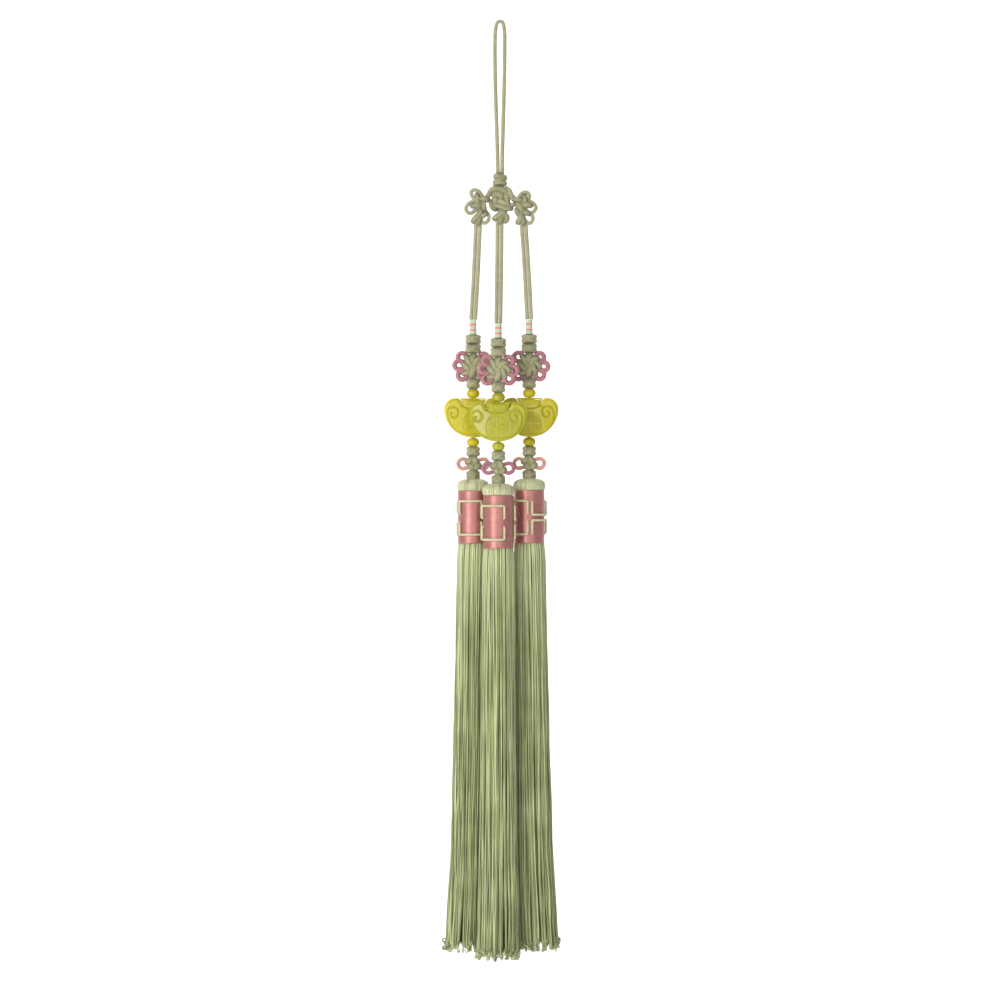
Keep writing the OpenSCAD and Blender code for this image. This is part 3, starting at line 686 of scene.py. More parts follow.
def knot_ends(node, strand):
    spans = [np.array([top + [0, 0, END_UP], top - [0, 0, END_DOWN]]) for top in cord_tops(strand)]
    routes = [even_steps(span, END_STEP) for span in spans]
    tubes(node + "_ends", routes, CORD / 2 + END_EXTRA, sage_cord, "sage_cord", node, sides=16)


def side_flower(strand, links, loops):
    node = strand + "_side_flower"
    centre = np.mean(cord_tops(strand), axis=0) + [0, 0, SIDE_UP + SIDE_TALL / 2]
    woven_knot(node + "_links", links, centre, node)
    routes = [smooth_route(upright_plane(loop), LOOP_STEP) + centre for loop in loops]
    tubes(node + "_loops", routes, CORD / 2, sage_cord, "sage_cord", node)
    knot_ends(node, strand)


knot_ends("drop_knot", "middle")
side_flower("left", LEFT_LINKS, LEFT_LOOPS)
side_flower("right", RIGHT_LINKS, RIGHT_LOOPS)


# %% [markdown]
# The round knots are tied round the strand. The cord goes round in turns that tilt opposite ways, so
# they cross in front and behind and make two bulges on each side. The turn that rises to the right lies
# on top. A turn is a closed ring whose height is given on its four sides. Two level rings lie a little
# further in and close the gaps between the crossed turns, and two short stems run through the middle.

# %% Make the round knots
STEM = 2.0
STEM_X = 0.75
STEM_EXTRA = 0.35
FILLER_INSET = 0.3
FILLER_RISE = 0.55
TURN_PUSH = 0.15
TURN_STEP, STEM_STEP = 0.3, 0.5


def turn_route(reach, heights, push):
    right, back, left, front = heights
    angle = np.linspace(0, 2 * math.pi, max(24, round(2 * math.pi * reach / TURN_STEP)), endpoint=False)
    level = (right + back + left + front) / 4
    tilt = (right - left) / 2 * np.cos(angle) + (back - front) / 2 * np.sin(angle)
    bend = (right + left - back - front) / 4 * np.cos(2 * angle)
    out = reach - push * np.sin(angle)
    return np.column_stack([out * np.cos(angle), out * np.sin(angle), level + tilt + bend])


def round_knot(node, thick, turns):
    low, high = low_high(node)
    centre = (low + high) / 2
    reach = (high[0] - low[0] - thick) / 2
    routes = []
    for heights, push in turns:
        inset = FILLER_INSET if min(heights) == max(heights) else 0
        routes.append(turn_route(reach - inset, heights, push) + centre)
    look = (sage_knot, "sage_knot", node)
    knot = tubes(node + "_turns", routes, thick / 2, *look, ways=(0, 0, 1), closed=True)
    # Painted shade where the turns' surface does not face outwards from the knot's axis.
    mark_crevice_shade(knot, centre, True)
    half = (high[2] - low[2]) / 2 + STEM_EXTRA
    stems = [np.array([[x, 0, half], [x, 0, 0], [x, 0, -half]]) + centre for x in (-STEM_X, STEM_X)]
    tubes(node + "_stems", [even_steps(stem, STEM_STEP) for stem in stems], STEM / 2, *look)


def crossed(rise, level):
    up = (level + rise, level, level - rise, level)
    down = (level - rise, level, level + rise, level)
    high, low = (level + FILLER_RISE * rise,) * 4, (level - FILLER_RISE * rise,) * 4
    return [(up, TURN_PUSH), (down, -TURN_PUSH), (high, 0.0), (low, 0.0)]


LOOP_TURNS = [
    ((0.5, 0.7, 1.5, 1.1), -0.1), ((1.1, 0.2, -1.1, -0.1), 0.35), ((-1.7, -1.2, -1.8, -1.25), 0.1),
]
HEAD_TURNS = [
    ((-0.75, -0.9, -0.65, -0.95), 0.0), ((0.9, 0.1, 0.85, 0.05), 0.15), ((-0.1, 0.9, 0.5, 0.9), -0.15),
]
round_knot("loop_knot", 2.2, LOOP_TURNS)
for side in SIDES:
    round_knot(side + "_neck_knot", 2.3, crossed(0.9, 2.05) + crossed(0.9, -2.0))
    round_knot(side + "_under_knot", 2.55, crossed(1.0, 0))
    round_knot(side + "_lower_knot", 2.45, crossed(0.95, 0))
    round_knot(side + "_head_knot", 2.35, HEAD_TURNS)


# %% [markdown]
# The petals on the flower knots are loops of cord wound closely with silk thread, which gives them
# their satin shine. The thread lies across the loop, so its ribs follow V of the UV map.

# %% Materials for wound silk
SILK_PITCH = 0.17
WOUND_DRIFT, WOUND_WEIGHT = 140, 0.55
WOUND_STOPS = (0.1, 0.5, 0.9)


def wound_silk(name, colours, relief):
    material, tree = new_material(name, Roughness=0.36, Metallic=0.3, Sheen_Weight=0.15)
    place, along = object_place(tree), cord_place(tree).axis("Y")
    settings = {"node_tree": winding}
    node = add_node(tree, "ShaderNodeGroup", settings, Place=place, Along=along, Pitch=SILK_PITCH)
    height, turn = Value(tree, node.outputs["Height"]), Value(tree, node.outputs["Turn"])
    # The height paints shade between the turns and light on their crests; the turn's own number and a noise
    # give the silk's uneven colour.
    factor = mixed(height, mixed(turn, noise(place, WOUND_DRIFT, 2), 0.5), WOUND_WEIGHT)
    paint(ramp(factor, list(zip(WOUND_STOPS, colours))), height, relief)
    return material


petal_silk = wound_silk("petal_silk", [(92, 46, 44), (160, 102, 104), (212, 154, 162)], 0.00006)
salmon_silk = wound_silk("salmon_silk", [(140, 76, 62), (208, 146, 130), (236, 184, 170)], 0.00008)
mauve_silk = wound_silk("mauve_silk", [(92, 46, 54), (162, 100, 116), (206, 148, 162)], 0.00008)
print("wound silk materials ready")

# %% [markdown]
# A petal is a loop that stands in the knot's front plane. It is part of a ring, and its two legs run on
# into the knot almost side by side. The ginger knot's two ears are loops of the same kind.

# %% Make the petals and the ginger loops
PETALS = [(38, 1.12), (-4, 1.24), (-41, 1.20), (142, 1.17), (177, 1.21), (221, 1.22)]
PETAL_CORD, PETAL_RADIUS, PETAL_TURN, PETAL_LEG = 2.1, 1.85, 230, 2.6
FLOWER_WIDE, GINGER_WIDE = 10.2, 7.7
EAR_CORD, EAR_RADIUS, EAR_TURN, EAR_LEG, EAR_OUT = 1.7, 2.1, 246, 2.2, 0.57
LEG_POINTS, LEG_NARROW, LEG_WIDE = 5, 0.72, 0.97
RING_STEP = 0.25


def loop_route(out, facing, radius, turn, leg):
    half = math.radians(turn) / 2
    angles = np.linspace(-half, half, max(12, round(radius * 2 * half / RING_STEP)))
    ring = upright_plane(zip(np.cos(angles), np.sin(angles))) * radius
    inward = np.outer(np.linspace(leg, leg / 5, LEG_POINTS), [-1, 0, 0])
    route = np.vstack([ring[0] + inward, ring, ring[-1] + inward[::-1]])
    narrow = np.linspace(LEG_NARROW, LEG_WIDE, LEG_POINTS)
    route[:LEG_POINTS, 2] *= narrow
    route[-LEG_POINTS:, 2] *= narrow[::-1]
    x, z = route[:, 0] + out, route[:, 2]
    cos, sin = math.cos(math.radians(facing)), math.sin(math.radians(facing))
    return np.column_stack([x * cos - z * sin, route[:, 1], x * sin + z * cos])


for side in SIDES:
    centre = middle_of(side + "_flower_knot")
    routes = [
        loop_route(out * FLOWER_WIDE / 2, facing, PETAL_RADIUS, PETAL_TURN, PETAL_LEG) + centre
        for facing, out in PETALS
    ]
    node = side + "_petal_loops"
    tubes(side + "_petals", routes, PETAL_CORD / 2, petal_silk, "petal_silk", node, sides=20)
    centre = middle_of(side + "_ginger_knot")
    routes = [
        loop_route(EAR_OUT * GINGER_WIDE, facing, EAR_RADIUS, EAR_TURN, EAR_LEG) + centre
        for facing in (0, 180)
    ]
    look = (mauve_silk, "mauve_silk") if side == "middle" else (salmon_silk, "salmon_silk")
    tubes(side + "_ears", routes, EAR_CORD / 2, *look, side + "_ginger_loops", sides=20)


# %% [markdown]
# The collar over each strand and the sleeve of each tassel are wound with real thread, so here each turn
# is modelled: one long coil of thin tube. It catches the light as the real winding does, in one soft
# upright band. The collar changes its colour for two stripes, so its coil is cut there.

# %% Wind thread round a piece
COLLAR_THREAD, COLLAR_PITCH = 0.28, 0.24
COLLAR_CUTS = [0, 0.26, 0.387, 0.64, 0.767, 1]
COLLAR_TONES = [0, 1, 0, 1, 0]
COLLAR_EDGE, COLLAR_INSET = 0.12, 0.22
CORE_EDGE = 0.1
UNEVEN = 0.02


def thread_coil(low, high, radius, pitch, start, steps):
    turns = (high - low) / pitch
    angle = np.linspace(0, 2 * math.pi * turns, max(8, round(steps * turns))) + start
    height = high - (angle - start) / 2 / math.pi * pitch
    out = radius + (UNEVEN * np.sin(angle * 0.37) + UNEVEN * np.sin(angle * 1.31))
    return np.column_stack([out * np.cos(angle), out * np.sin(angle), height]), angle[-1]


def filling(low, high):
    middle = ((low + high) / 2)[:2]
    return [np.array([[*middle, high[2] - CORE_EDGE], [*middle, low[2] + CORE_EDGE]])]


def collar(side):
    low, high = low_high(side + "_collar")
    axis = [*((low + high) / 2)[:2], 0]
    top, tall = high[2] - COLLAR_EDGE, high[2] - low[2] - 2 * COLLAR_EDGE
    radius = (high[0] - low[0]) / 2 - COLLAR_INSET
    routes, start = [], 0.0
    for over, under in zip(COLLAR_CUTS, COLLAR_CUTS[1:]):
        route, start = thread_coil(top - tall * under, top - tall * over, radius, COLLAR_PITCH, start, 32)
        routes.append(route + axis)
    look = (collar_thread, "collar_binding", side + "_collar")
    form = {"sides": 6, "ways": (0, 0, 1), "tones": COLLAR_TONES}
    tubes(side + "_collar_thread", routes, COLLAR_THREAD / 2, *look, **form)
    tubes(side + "_collar_core", filling(low, high), radius, *look, sides=24)


collar_thread, tree = new_material("collar_thread", Roughness=0.4, Sheen_Weight=0.3)
pattern = result(
    tree, "ShaderNodeGroup", {"node_tree": ply}, "Height", Place=cord_place(tree), Plies=2, Twist=0.6,
)
stripe = ramp(attribute(tree, "tone"), [(0.6, (192, 208, 172)), (0.9, (226, 128, 140))])
# Painted shade: the ply's grooves darken the stripes' colour.
groove_shade = ramp(pattern, [(0.0, (150, 150, 150)), (0.7, (255, 255, 255))])
paint(mix_colours(0.35, stripe, groove_shade, "MULTIPLY"), pattern, 0.00003)
for side in SIDES:
    collar(side)


# %% [markdown]
# The sleeve's thread is glossy rose silk. Its colour drifts a little from turn to turn, which a noise
# pattern gives when it is stretched flat: it changes fast in Z and slowly round the sleeve.

# %% Sleeve material and sleeves
SLEEVE_THREAD, SLEEVE_PITCH = 0.6, 0.24
SLEEVE_INSET, SLEEVE_EDGE = 0.04, 0.3
SLEEVE_START = 1.6

sleeve_silk, tree = new_material(
    "sleeve_silk", Roughness=0.35, Metallic=0.55, Specular_IOR_Level=1.0, Sheen_Weight=0.05,
)
streaks = stretched_noise(tree, (110, 110, 3400))
paint(ramp(streaks, [(0.25, (170, 108, 101)), (0.5, (177, 116, 109)), (0.75, (184, 124, 117))]))


def sleeve(side):
    low, high = low_high(side + "_sleeve")
    radius = (high[0] - low[0]) / 2 - SLEEVE_THREAD / 2 - SLEEVE_INSET
    start, end = low[2] + SLEEVE_EDGE, high[2] - SLEEVE_EDGE
    route, _ = thread_coil(start, end, radius, SLEEVE_PITCH, SLEEVE_START, 40)
    routes = [route + [*AXES[side], 0]]
    look = (sleeve_silk, "sleeve_silk", side + "_sleeve")
    tubes(side + "_sleeve_thread", routes, SLEEVE_THREAD / 2, *look, sides=6, ways=(0, 0, 1))
    tubes(side + "_sleeve_lining", filling(low, high), radius, *look, sides=64)


for side in SIDES:
    sleeve(side)


# %% [markdown]
# The fret on each sleeve is laid in pairs of brackets. A bracket is one twisted cord of two plies that
# follows the sleeve round, so its route is drawn flat first, as angles and heights with rounded corners,
# and then bent round the sleeve. Its two ends are tucked in.

# %% Draw the brackets of the fret
FRETS = {
    "left": [("open", -57, 35), ("bar", 83, 170), ("open", 178, 255)],
    "middle": [("open", -78, 25), ("bar", 73, 161), ("open", 169, 272)],
    "right": [("open", -105, -2), ("bar", 6, 95), ("open", 143, 247)],
}
FRET_CORD, FRET_TOP, FRET_LOW, FRET_SLOT = 1.0, 0.20, 0.83, 0.05
FOOT_SLOT = FRET_SLOT + 0.022
FRET_INSET = 4
FRET_CORNER, FRET_STEP = 0.7, 0.2
TUCK, TUCK_LONG = 0.6, 0.7


def rounded_corners(points, radius):
    points = np.array(points, float)
    route = [points[0]]
    for before, corner, after in zip(points, points[1:], points[2:]):
        start = corner + unit(before - corner) * radius
        end = corner + unit(after - corner) * radius
        for t in np.linspace(0, 1, 6):
            route.append((1 - t) ** 2 * start + 2 * t * (1 - t) * corner + t**2 * end)
    return np.array([*route, points[-1]])


def bracket(kind, start, end, tall, radius, upper):
    arc = math.radians(1) * radius
    first, last = (start + FRET_INSET) * arc, (end - FRET_INSET) * arc
    half = (FRET_TOP + FRET_LOW) / 2
    if kind == "open":
        bar, foot = (FRET_TOP, half - FOOT_SLOT) if upper else (FRET_LOW, half + FOOT_SLOT)
    else:
        bar, foot = (half - FRET_SLOT, FRET_TOP) if upper else (half + FRET_SLOT, FRET_LOW)
    corners = [(first, -foot * tall), (first, -bar * tall), (last, -bar * tall), (last, -foot * tall)]
    return even_steps(rounded_corners(upright_plane(corners), FRET_CORNER), FRET_STEP)


def bend_round(flat, radius):
    angle = flat[:, 0] / radius - math.pi / 2
    along = np.linspace(0, 1, len(flat))
    ends = np.minimum(along, 1 - along) * length_of(flat)
    out = radius - TUCK * np.clip(1 - ends / TUCK_LONG, 0, 1) ** 2
    return np.column_stack([out * np.cos(angle), out * np.sin(angle), flat[:, 2]])


print("one bracket:", len(bracket("open", -78, 25, 24, 6, True)), "points")

# %% [markdown]
# The two plies of a bracket's cord swing round its route as two thin tubes, half a turn apart.

# %% Lay the fret cords
FRET_TWIST = 1.25
PLY_SWING, PLY_RADIUS = 0.21, 0.34


def twisted_pair(route):
    ahead = unit(np.gradient(route, axis=0))
    out = unit(route * [1, 1, 0])
    phase = 2 * math.pi * distances_along(route)[:, None] / FRET_TWIST
    swing = (np.cos(phase) * out + np.sin(phase) * np.cross(ahead, out)) * FRET_CORD * PLY_SWING
    return [route + swing, route - swing]


def fret(side):
    low, high = low_high(side + "_sleeve")
    top_middle = [*AXES[side], high[2]]
    radius = (high[0] - low[0]) / 2 + FRET_CORD / 2
    routes, ways = [], []
    for kind, start, end in FRETS[side]:
        facing = math.radians((start + end) / 2 - 90)
        for upper in (True, False):
            flat = bracket(kind, start, end, high[2] - low[2], radius, upper)
            routes += [strand + top_middle for strand in twisted_pair(bend_round(flat, radius))]
            ways += [(math.cos(facing), math.sin(facing), 0)] * 2
    look = (fret_silk, "fret_cord", side + "_fret_cords")
    tubes(side + "_fret", routes, FRET_CORD * PLY_RADIUS, *look, sides=8, ways=ways)


fret_silk = silk(
    "fret_silk", fibres, {"Across": 1.6, "Long": 1.2}, [(120, 116, 72), (196, 196, 152), (224, 223, 190)],
    0.00003,
)
for side in SIDES:
    fret(side)


# %% [markdown]
# Beads and pouches are carved from yellow jade. The stone is polished, lets light a little way in, and
# has slow clouds and fine grain. Where it is carved it is darker and duller, which an attribute on the
# mesh says. The pieces of the middle strand are a little greener.

# %% Jade material
POLISHED, DULLER = 0.12, 0.4
CLOUDS, GRAIN = 70, 630
CARVED_SHARE = 0.75


def jade(name, colours):
    material, tree = new_material(
        name, Roughness=POLISHED, Subsurface_Weight=0.4, Subsurface_Radius=(1.0, 0.85, 0.25),
        Subsurface_Scale=0.002, IOR=1.5, Specular_IOR_Level=0.38,
    )
    clouds = noise(object_place(tree), CLOUDS, 4, Distortion=0.6)
    grain = noise(object_place(tree), GRAIN, 3)
    carved = attribute(tree, "carved")
    body = ramp(mixed(clouds, grain, 0.25), list(zip((0.32, 0.5, 0.7), colours)))
    paint(mix_colours(carved * CARVED_SHARE, body, shade(*colours[0])), grain, 0.00003, 0.25)
    (carved * DULLER + POLISHED).into(tree.nodes["Principled BSDF"].inputs["Roughness"])
    return material


jade_side = jade("jade", [(162, 150, 8), (186, 175, 34), (202, 192, 84)])
jade_front = jade("jade_front", [(148, 145, 14), (162, 159, 36), (178, 175, 68)])
STONES = {"left": jade_side, "middle": jade_front, "right": jade_side}
print("jade materials ready")

# %% [markdown]
# A bead is turned, so its profile is spun round its axis. The profile is a half round with a flat by the
# bore, and the bore's two edges are rounded. Two helpers keep the edit mode in order: one takes up a
# single piece, the other goes into edit mode and out again.

# %% Make the beads
BORE = 0.8
BORE_EDGE = 0.12
BEAD_SEGMENTS = 64


def take_up(piece):
    bpy.ops.object.select_all(action="DESELECT")
    piece.select_set(True)
    bpy.context.view_layer.objects.active = piece


@contextmanager
def editing(piece):
    take_up(piece)
    bpy.ops.object.mode_set(mode="EDIT")
    yield
    bpy.ops.object.mode_set(mode="OBJECT")


def spun(name, profile, centre):
    mesh = bpy.data.meshes.new(name)
    edges = [(n, (n + 1) % len(profile)) for n in range(len(profile))]
    mesh.from_pydata([(radius * MM, 0, height * MM) for radius, height in profile], edges, [])
    piece = add_object(name, mesh)
    with editing(piece):
        bpy.ops.mesh.select_all(action="SELECT")
        bpy.ops.mesh.spin(steps=BEAD_SEGMENTS, angle=2 * math.pi, center=(0, 0, 0), axis=(0, 0, 1))
        bpy.ops.mesh.select_all(action="SELECT")
        bpy.ops.mesh.remove_doubles(threshold=1e-6)
        bpy.ops.mesh.normals_make_consistent(inside=False)
    piece.location = centre * MM
    bpy.ops.object.transform_apply(location=True, rotation=False, scale=False)
    piece.data.shade_smooth()
    return piece


def bead(node, material):
    low, high = low_high(node)
    width, half = (high[0] - low[0]) / 2, (high[2] - low[2]) / 2
    flat = max(width - half, BORE + BORE_EDGE)
    angles = np.linspace(math.pi / 2, -math.pi / 2, 22)
    profile = [(flat + (width - flat) * math.cos(a), half * math.sin(a)) for a in angles]
    profile += [(BORE, -half + BORE_EDGE), (BORE, half - BORE_EDGE)]
    dress(spun(node + "_turned", profile, (low + high) / 2), material, node)


for side in SIDES:
    bead(side + "_upper_bead", STONES[side])
    bead(side + "_lower_bead", STONES[side])


# %% [markdown]
# The pouch is the hardest piece. Its outline is drawn from arcs: two round lobes, a round belly, and a
# crown that flares upwards between two notches. The outline is extruded to a slab, drilled for the
# thread, and remeshed into small even squares, which can then be pushed about like wax.

# %% Draw the pouch's outline
WIDTH, HEIGHT = 25.4, 17.0
THICK, RIM_THICK = 5.6, 3.2
CROWN = 11.1
CROWN_SIDE = [(CROWN / 2, 0), (5.15, -1.0), (4.8, -2.0), (4.6, -2.75)]
LOBE_TIP = [(4.85, -3.0), (5.05, -2.7), (5.25, -2.1), (5.5, -1.4), (5.85, -0.7)]
LOBE_R = HEIGHT * 0.29
LOBE_X = WIDTH / 2 - LOBE_R
BELLY_Z = -LOBE_R * 1.1
BELLY_DROP = HEIGHT + BELLY_Z
BELLY_R = ((WIDTH / 2) ** 2 + BELLY_DROP**2) / (2 * BELLY_DROP)


def arc(x, z, radius, start, end, count):
    angles = np.radians(np.linspace(start, end, count))
    return np.column_stack([x + radius * np.cos(angles), z + radius * np.sin(angles)])


def pouch_outline():
    lobe = arc(LOBE_X, -LOBE_R, LOBE_R, 108, -6, 40)
    centre_z = BELLY_R - HEIGHT
    start = math.degrees(math.asin((BELLY_Z - centre_z) / BELLY_R))
    belly = arc(0, centre_z, BELLY_R, start - 1, -90, 40)
    right = np.vstack([CROWN_SIDE, LOBE_TIP, lobe, belly])
    left = (right * [-1, 1])[::-1][1:]
    return upright_plane(np.vstack([right, left]))


OUTLINE = pouch_outline()
print("pouch outline:", len(OUTLINE), "points")

# %% [markdown]
# The slab is the outline, extruded and drilled. A voxel remesh gives it its even squares.

# %% Make the pouch's slab with its bore
VOXEL = 0.14


def apply_modifier(piece, kind, **settings):
    modifier = piece.modifiers.new(kind.lower(), kind)
    for key, value in settings.items():
        setattr(modifier, key, value)
    take_up(piece)
    bpy.ops.object.modifier_apply(modifier=modifier.name)


def remesh(piece):
    apply_modifier(piece, "REMESH", mode="VOXEL", voxel_size=VOXEL, use_smooth_shade=True)


mesh = bpy.data.meshes.new("pouch_slab")
mesh.from_pydata((OUTLINE - [0, THICK / 2, 0]).tolist(), [], [list(range(len(OUTLINE)))])
slab = add_object("pouch_slab", mesh)
with editing(slab):
    bpy.ops.mesh.select_all(action="SELECT")
    bpy.ops.mesh.extrude_region_move(TRANSFORM_OT_translate={"value": (0, THICK, 0)})
    bpy.ops.mesh.select_all(action="SELECT")
    bpy.ops.mesh.normals_make_consistent(inside=False)
bpy.ops.object.select_all(action="DESELECT")
bpy.ops.mesh.primitive_cylinder_add(vertices=40, radius=BORE, depth=40, location=(0, 0, -HEIGHT / 2))
drill = bpy.context.object
apply_modifier(slab, "BOOLEAN", operation="DIFFERENCE", object=drill, solver="EXACT")
bpy.data.objects.remove(drill)
remesh(slab)
print("slab:", len(slab.data.vertices), "points")

# %% [markdown]
# The carving is drawn as strokes in the pouch's own plane: millimetres from the bore's line and down
# from the crown's top. A stroke has a width and a depth. The scrolls on the lobes, the flutes of the
# crown and a round medallion of straight bars are the traditional ornament of such a pouch.

# %% Strokes of the carving
STROKE_STEP = 0.05
FLUTES = [
    ((-4.6, -1.3), (-3.95, -2.9)), ((-3.6, -1.3), (-3.1, -2.9)), ((-2.4, -1.3), (-2.0, -2.9)),
    ((-1.25, -1.3), (-1.25, -2.9)), ((-0.1, -1.3), (-0.3, -2.9)), ((1.0, -1.3), (0.4, -2.9)),
    ((1.9, -1.3), (1.2, -2.9)), ((2.8, -1.3), (2.0, -2.9)), ((3.7, -1.3), (2.9, -2.9)),
]
UNDER_CROWN = [(-4.7, -3.3), (-3.6, -4.0), (-2.2, -4.5), (-0.5, -4.7), (1.6, -4.5), (3.2, -4.0), (4.5, -3.3)]
RIGHT_SCROLL = [
    (7.9, -5.6), (8.8, -6.6), (8.4, -7.7), (7.3, -8.2), (6.0, -7.6), (5.5, -6.0), (6.0, -4.4), (7.7, -3.5),
    (9.4, -3.9), (10.4, -5.2), (10.8, -6.75), (10.7, -9.1), (10.0, -11.4), (8.3, -13.9), (5.8, -15.05),
    (2.3, -15.5), (0, -15.7),
]
LEFT_SCROLL = [
    (-9.3, -6.4), (-9.9, -7.0), (-9.4, -8.1), (-8.5, -8.3), (-7.5, -8.1), (-6.7, -7.1), (-6.6, -5.8),
    (-7.3, -4.4), (-8.9, -3.76), (-10.4, -4.25), (-11.2, -5.4), (-11.1, -6.75), (-10.9, -8.7),
    (-10.0, -11.0), (-8.7, -12.9), (-6.9, -14.7), (-4.2, -15.4), (0, -15.7),
]
RING_Z, RING_R = -11.05, 4.85
QUARTER_BARS = [
    [(0.6, 4.8), (0.6, 1.3)],
    [(0.65, 0.69), (4.8, 0.69)],
    [(0.6, 1.6), (3.6, 1.6), (3.1, 2.4), (1.3, 3.75), (1.45, 2.1)],
]


def bent_stroke(points):
    return smooth_route(upright_plane(points), STROKE_STEP)


def straight_stroke(points):
    return even_steps(upright_plane(points), STROKE_STEP)


medallion = [arc(0, RING_Z, RING_R, 0, 360, 90)]
for x in (-1, 1):
    for z in (-1, 1):
        medallion += [np.array(bar) * [x, z] + [0, RING_Z] for bar in QUARTER_BARS]
STROKES = [(straight_stroke(line), 0.36, 0.14) for line in FLUTES]
STROKES += [(bent_stroke(UNDER_CROWN), 0.85, 0.26)]
STROKES += [(bent_stroke(line), 1.05, 0.26) for line in (RIGHT_SCROLL, LEFT_SCROLL)]
STROKES += [(straight_stroke(line), 0.42, 0.13) for line in medallion]
print("carving:", len(STROKES), "strokes")

# %% [markdown]
# The slab's points are moved in three steps. First the thickness: each face becomes part of a large
# ball, thinner towards the rim and towards the crown's upper edge. Then the rim: a point near the
# outline is moved from the slab's square corner onto a round one.

# %% Shape the pouch
RIM_ROUND = 1.5
CROWN_BEVEL, CROWN_EDGE = 0.55, 1.3


def nearest(points, route):
    tree = KDTree(len(route))
    for n, point in enumerate(route):
        tree.insert(point, n)
    tree.balance()
    found = [tree.find(point) for point in points]
    return np.array([place for place, _, _ in found]), np.array([distance for _, _, distance in found])


def half_thickness(x, z):
    share = (x**2 + (z + HEIGHT / 2) ** 2) / (WIDTH / 2) ** 2
    lens = RIM_THICK / 2 + (THICK - RIM_THICK) / 2 * np.clip(1 - share, -0.1, 1)
    on_crown = (np.abs(x) < CROWN / 2 + 0.2) & (z > -CROWN_EDGE)
    return lens - np.where(on_crown, np.clip((z + CROWN_EDGE) / CROWN_EDGE, 0, 1) * CROWN_BEVEL, 0)


def round_rim(points):
    flat = points * [1, 0, 1]
    close, distance = nearest(flat, even_steps(np.vstack([OUTLINE, OUTLINE[:1]]), 0.08))
    local = half_thickness(points[:, 0], points[:, 2])
    height = np.abs(points[:, 1] / (THICK / 2)) * local
    rim = np.minimum(RIM_ROUND, local)
    up = np.clip(height - (local - rim), 0, None)
    out = np.clip(rim - distance, 0, None)
    squeeze = np.maximum(up, out) / np.maximum(np.hypot(up, out), 1e-9)
    corner = (up > 0) & (out > 0)
    height = np.where(corner, local - rim + up * squeeze, height)
    inward = np.where(corner, out - out * squeeze, 0)
    direction = flat - close
    direction /= np.maximum(np.linalg.norm(direction, axis=1, keepdims=True), 1e-6)
    moved = flat + direction * inward[:, None]
    moved[:, 1] = np.sign(points[:, 1]) * height
    return moved


points = round_rim(vertex_values(slab, "co"))
slab.data.vertices.foreach_set("co", points.ravel())
remesh(slab)
apply_modifier(slab, "SMOOTH", factor=0.5, iterations=4)
print("shaped slab:", len(slab.data.vertices), "points")

# %% [markdown]
# Last comes the carving: a point on a face sinks by the depth of the nearest stroke, and an attribute
# keeps how deep it sank, for the stone's colour and polish.

# %% Carve the pouch
FACE_SHARE = 0.6
FULLY_CARVED = 0.13
KEPT_FACES = 0.42


def carve(points):
    on_face = np.abs(points[:, 1]) / half_thickness(points[:, 0], points[:, 2]) > FACE_SHARE
    flat = points[on_face] * [1, 0, 1]
    sunk = np.zeros(len(flat))
    for route, width, deep in STROKES:
        low, high = route.min(axis=0) - width, route.max(axis=0) + width
        near = np.all((flat >= low) & (flat <= high), axis=1)
        _, distance = nearest(flat[near], route)
        share = np.clip(1 - (distance / (width / 2)) ** 2, 0, 1) ** 0.6
        sunk[near] = np.maximum(sunk[near], share * deep)
    depth = np.zeros(len(points))
    depth[on_face] = sunk
    return depth


points = vertex_values(slab, "co")
depth = carve(points)
points[:, 1] -= np.sign(points[:, 1]) * depth
slab.data.vertices.foreach_set("co", points.ravel())
carved = slab.data.attributes.new("carved", "FLOAT", "POINT")
carved.data.foreach_set("value", np.clip(depth / FULLY_CARVED, 0, 1))
slab.data.update()
apply_modifier(slab, "SMOOTH", factor=0.5, iterations=1)
apply_modifier(slab, "DECIMATE", ratio=KEPT_FACES)
slab.data.shade_smooth()
print("carved pouch:", len(slab.data.polygons), "faces")

# %% [markdown]
# The three pouches are copies of the one that was carved. Each is turned a little about its thread.

# %% Hang a copy of the pouch on each strand
TURNS = {"left": 9, "middle": -8, "right": 9}

for side in SIDES:
    _, high = low_high(side + "_pouch")
    mesh = slab.data.copy()
    turned = Matrix.Rotation(math.radians(TURNS[side]), 4, "Z") @ Matrix.Scale(MM, 4)
    mesh.transform(Matrix.Translation((*(AXES[side] * MM), high[2] * MM)) @ turned)
    pouch = add_object(side + "_pouch_carved", mesh)
    dress(pouch, STONES[side], side + "_pouch")
bpy.data.objects.remove(slab)


# %% [markdown]
# A tassel's head is yarn drawn over a ball and gathered under the knot. Each yarn runs from the knot,
# over the dome and down into the sleeve, and gets thicker as it leaves the crowded middle.

# %% Make the tassel heads
HEAD_FORM = [
    (1.6, 0.3), (3.2, 0.1), (4.9, -0.3), (6.35, -1.2), (6.95, -2.6), (6.8, -4.0), (6.1, -5.0), (5.9, -6.0),
]
HEAD_YARN = 0.19
HEAD_YARNS = 170
HEAD_STEP, YARN_START = 0.45, 0.09


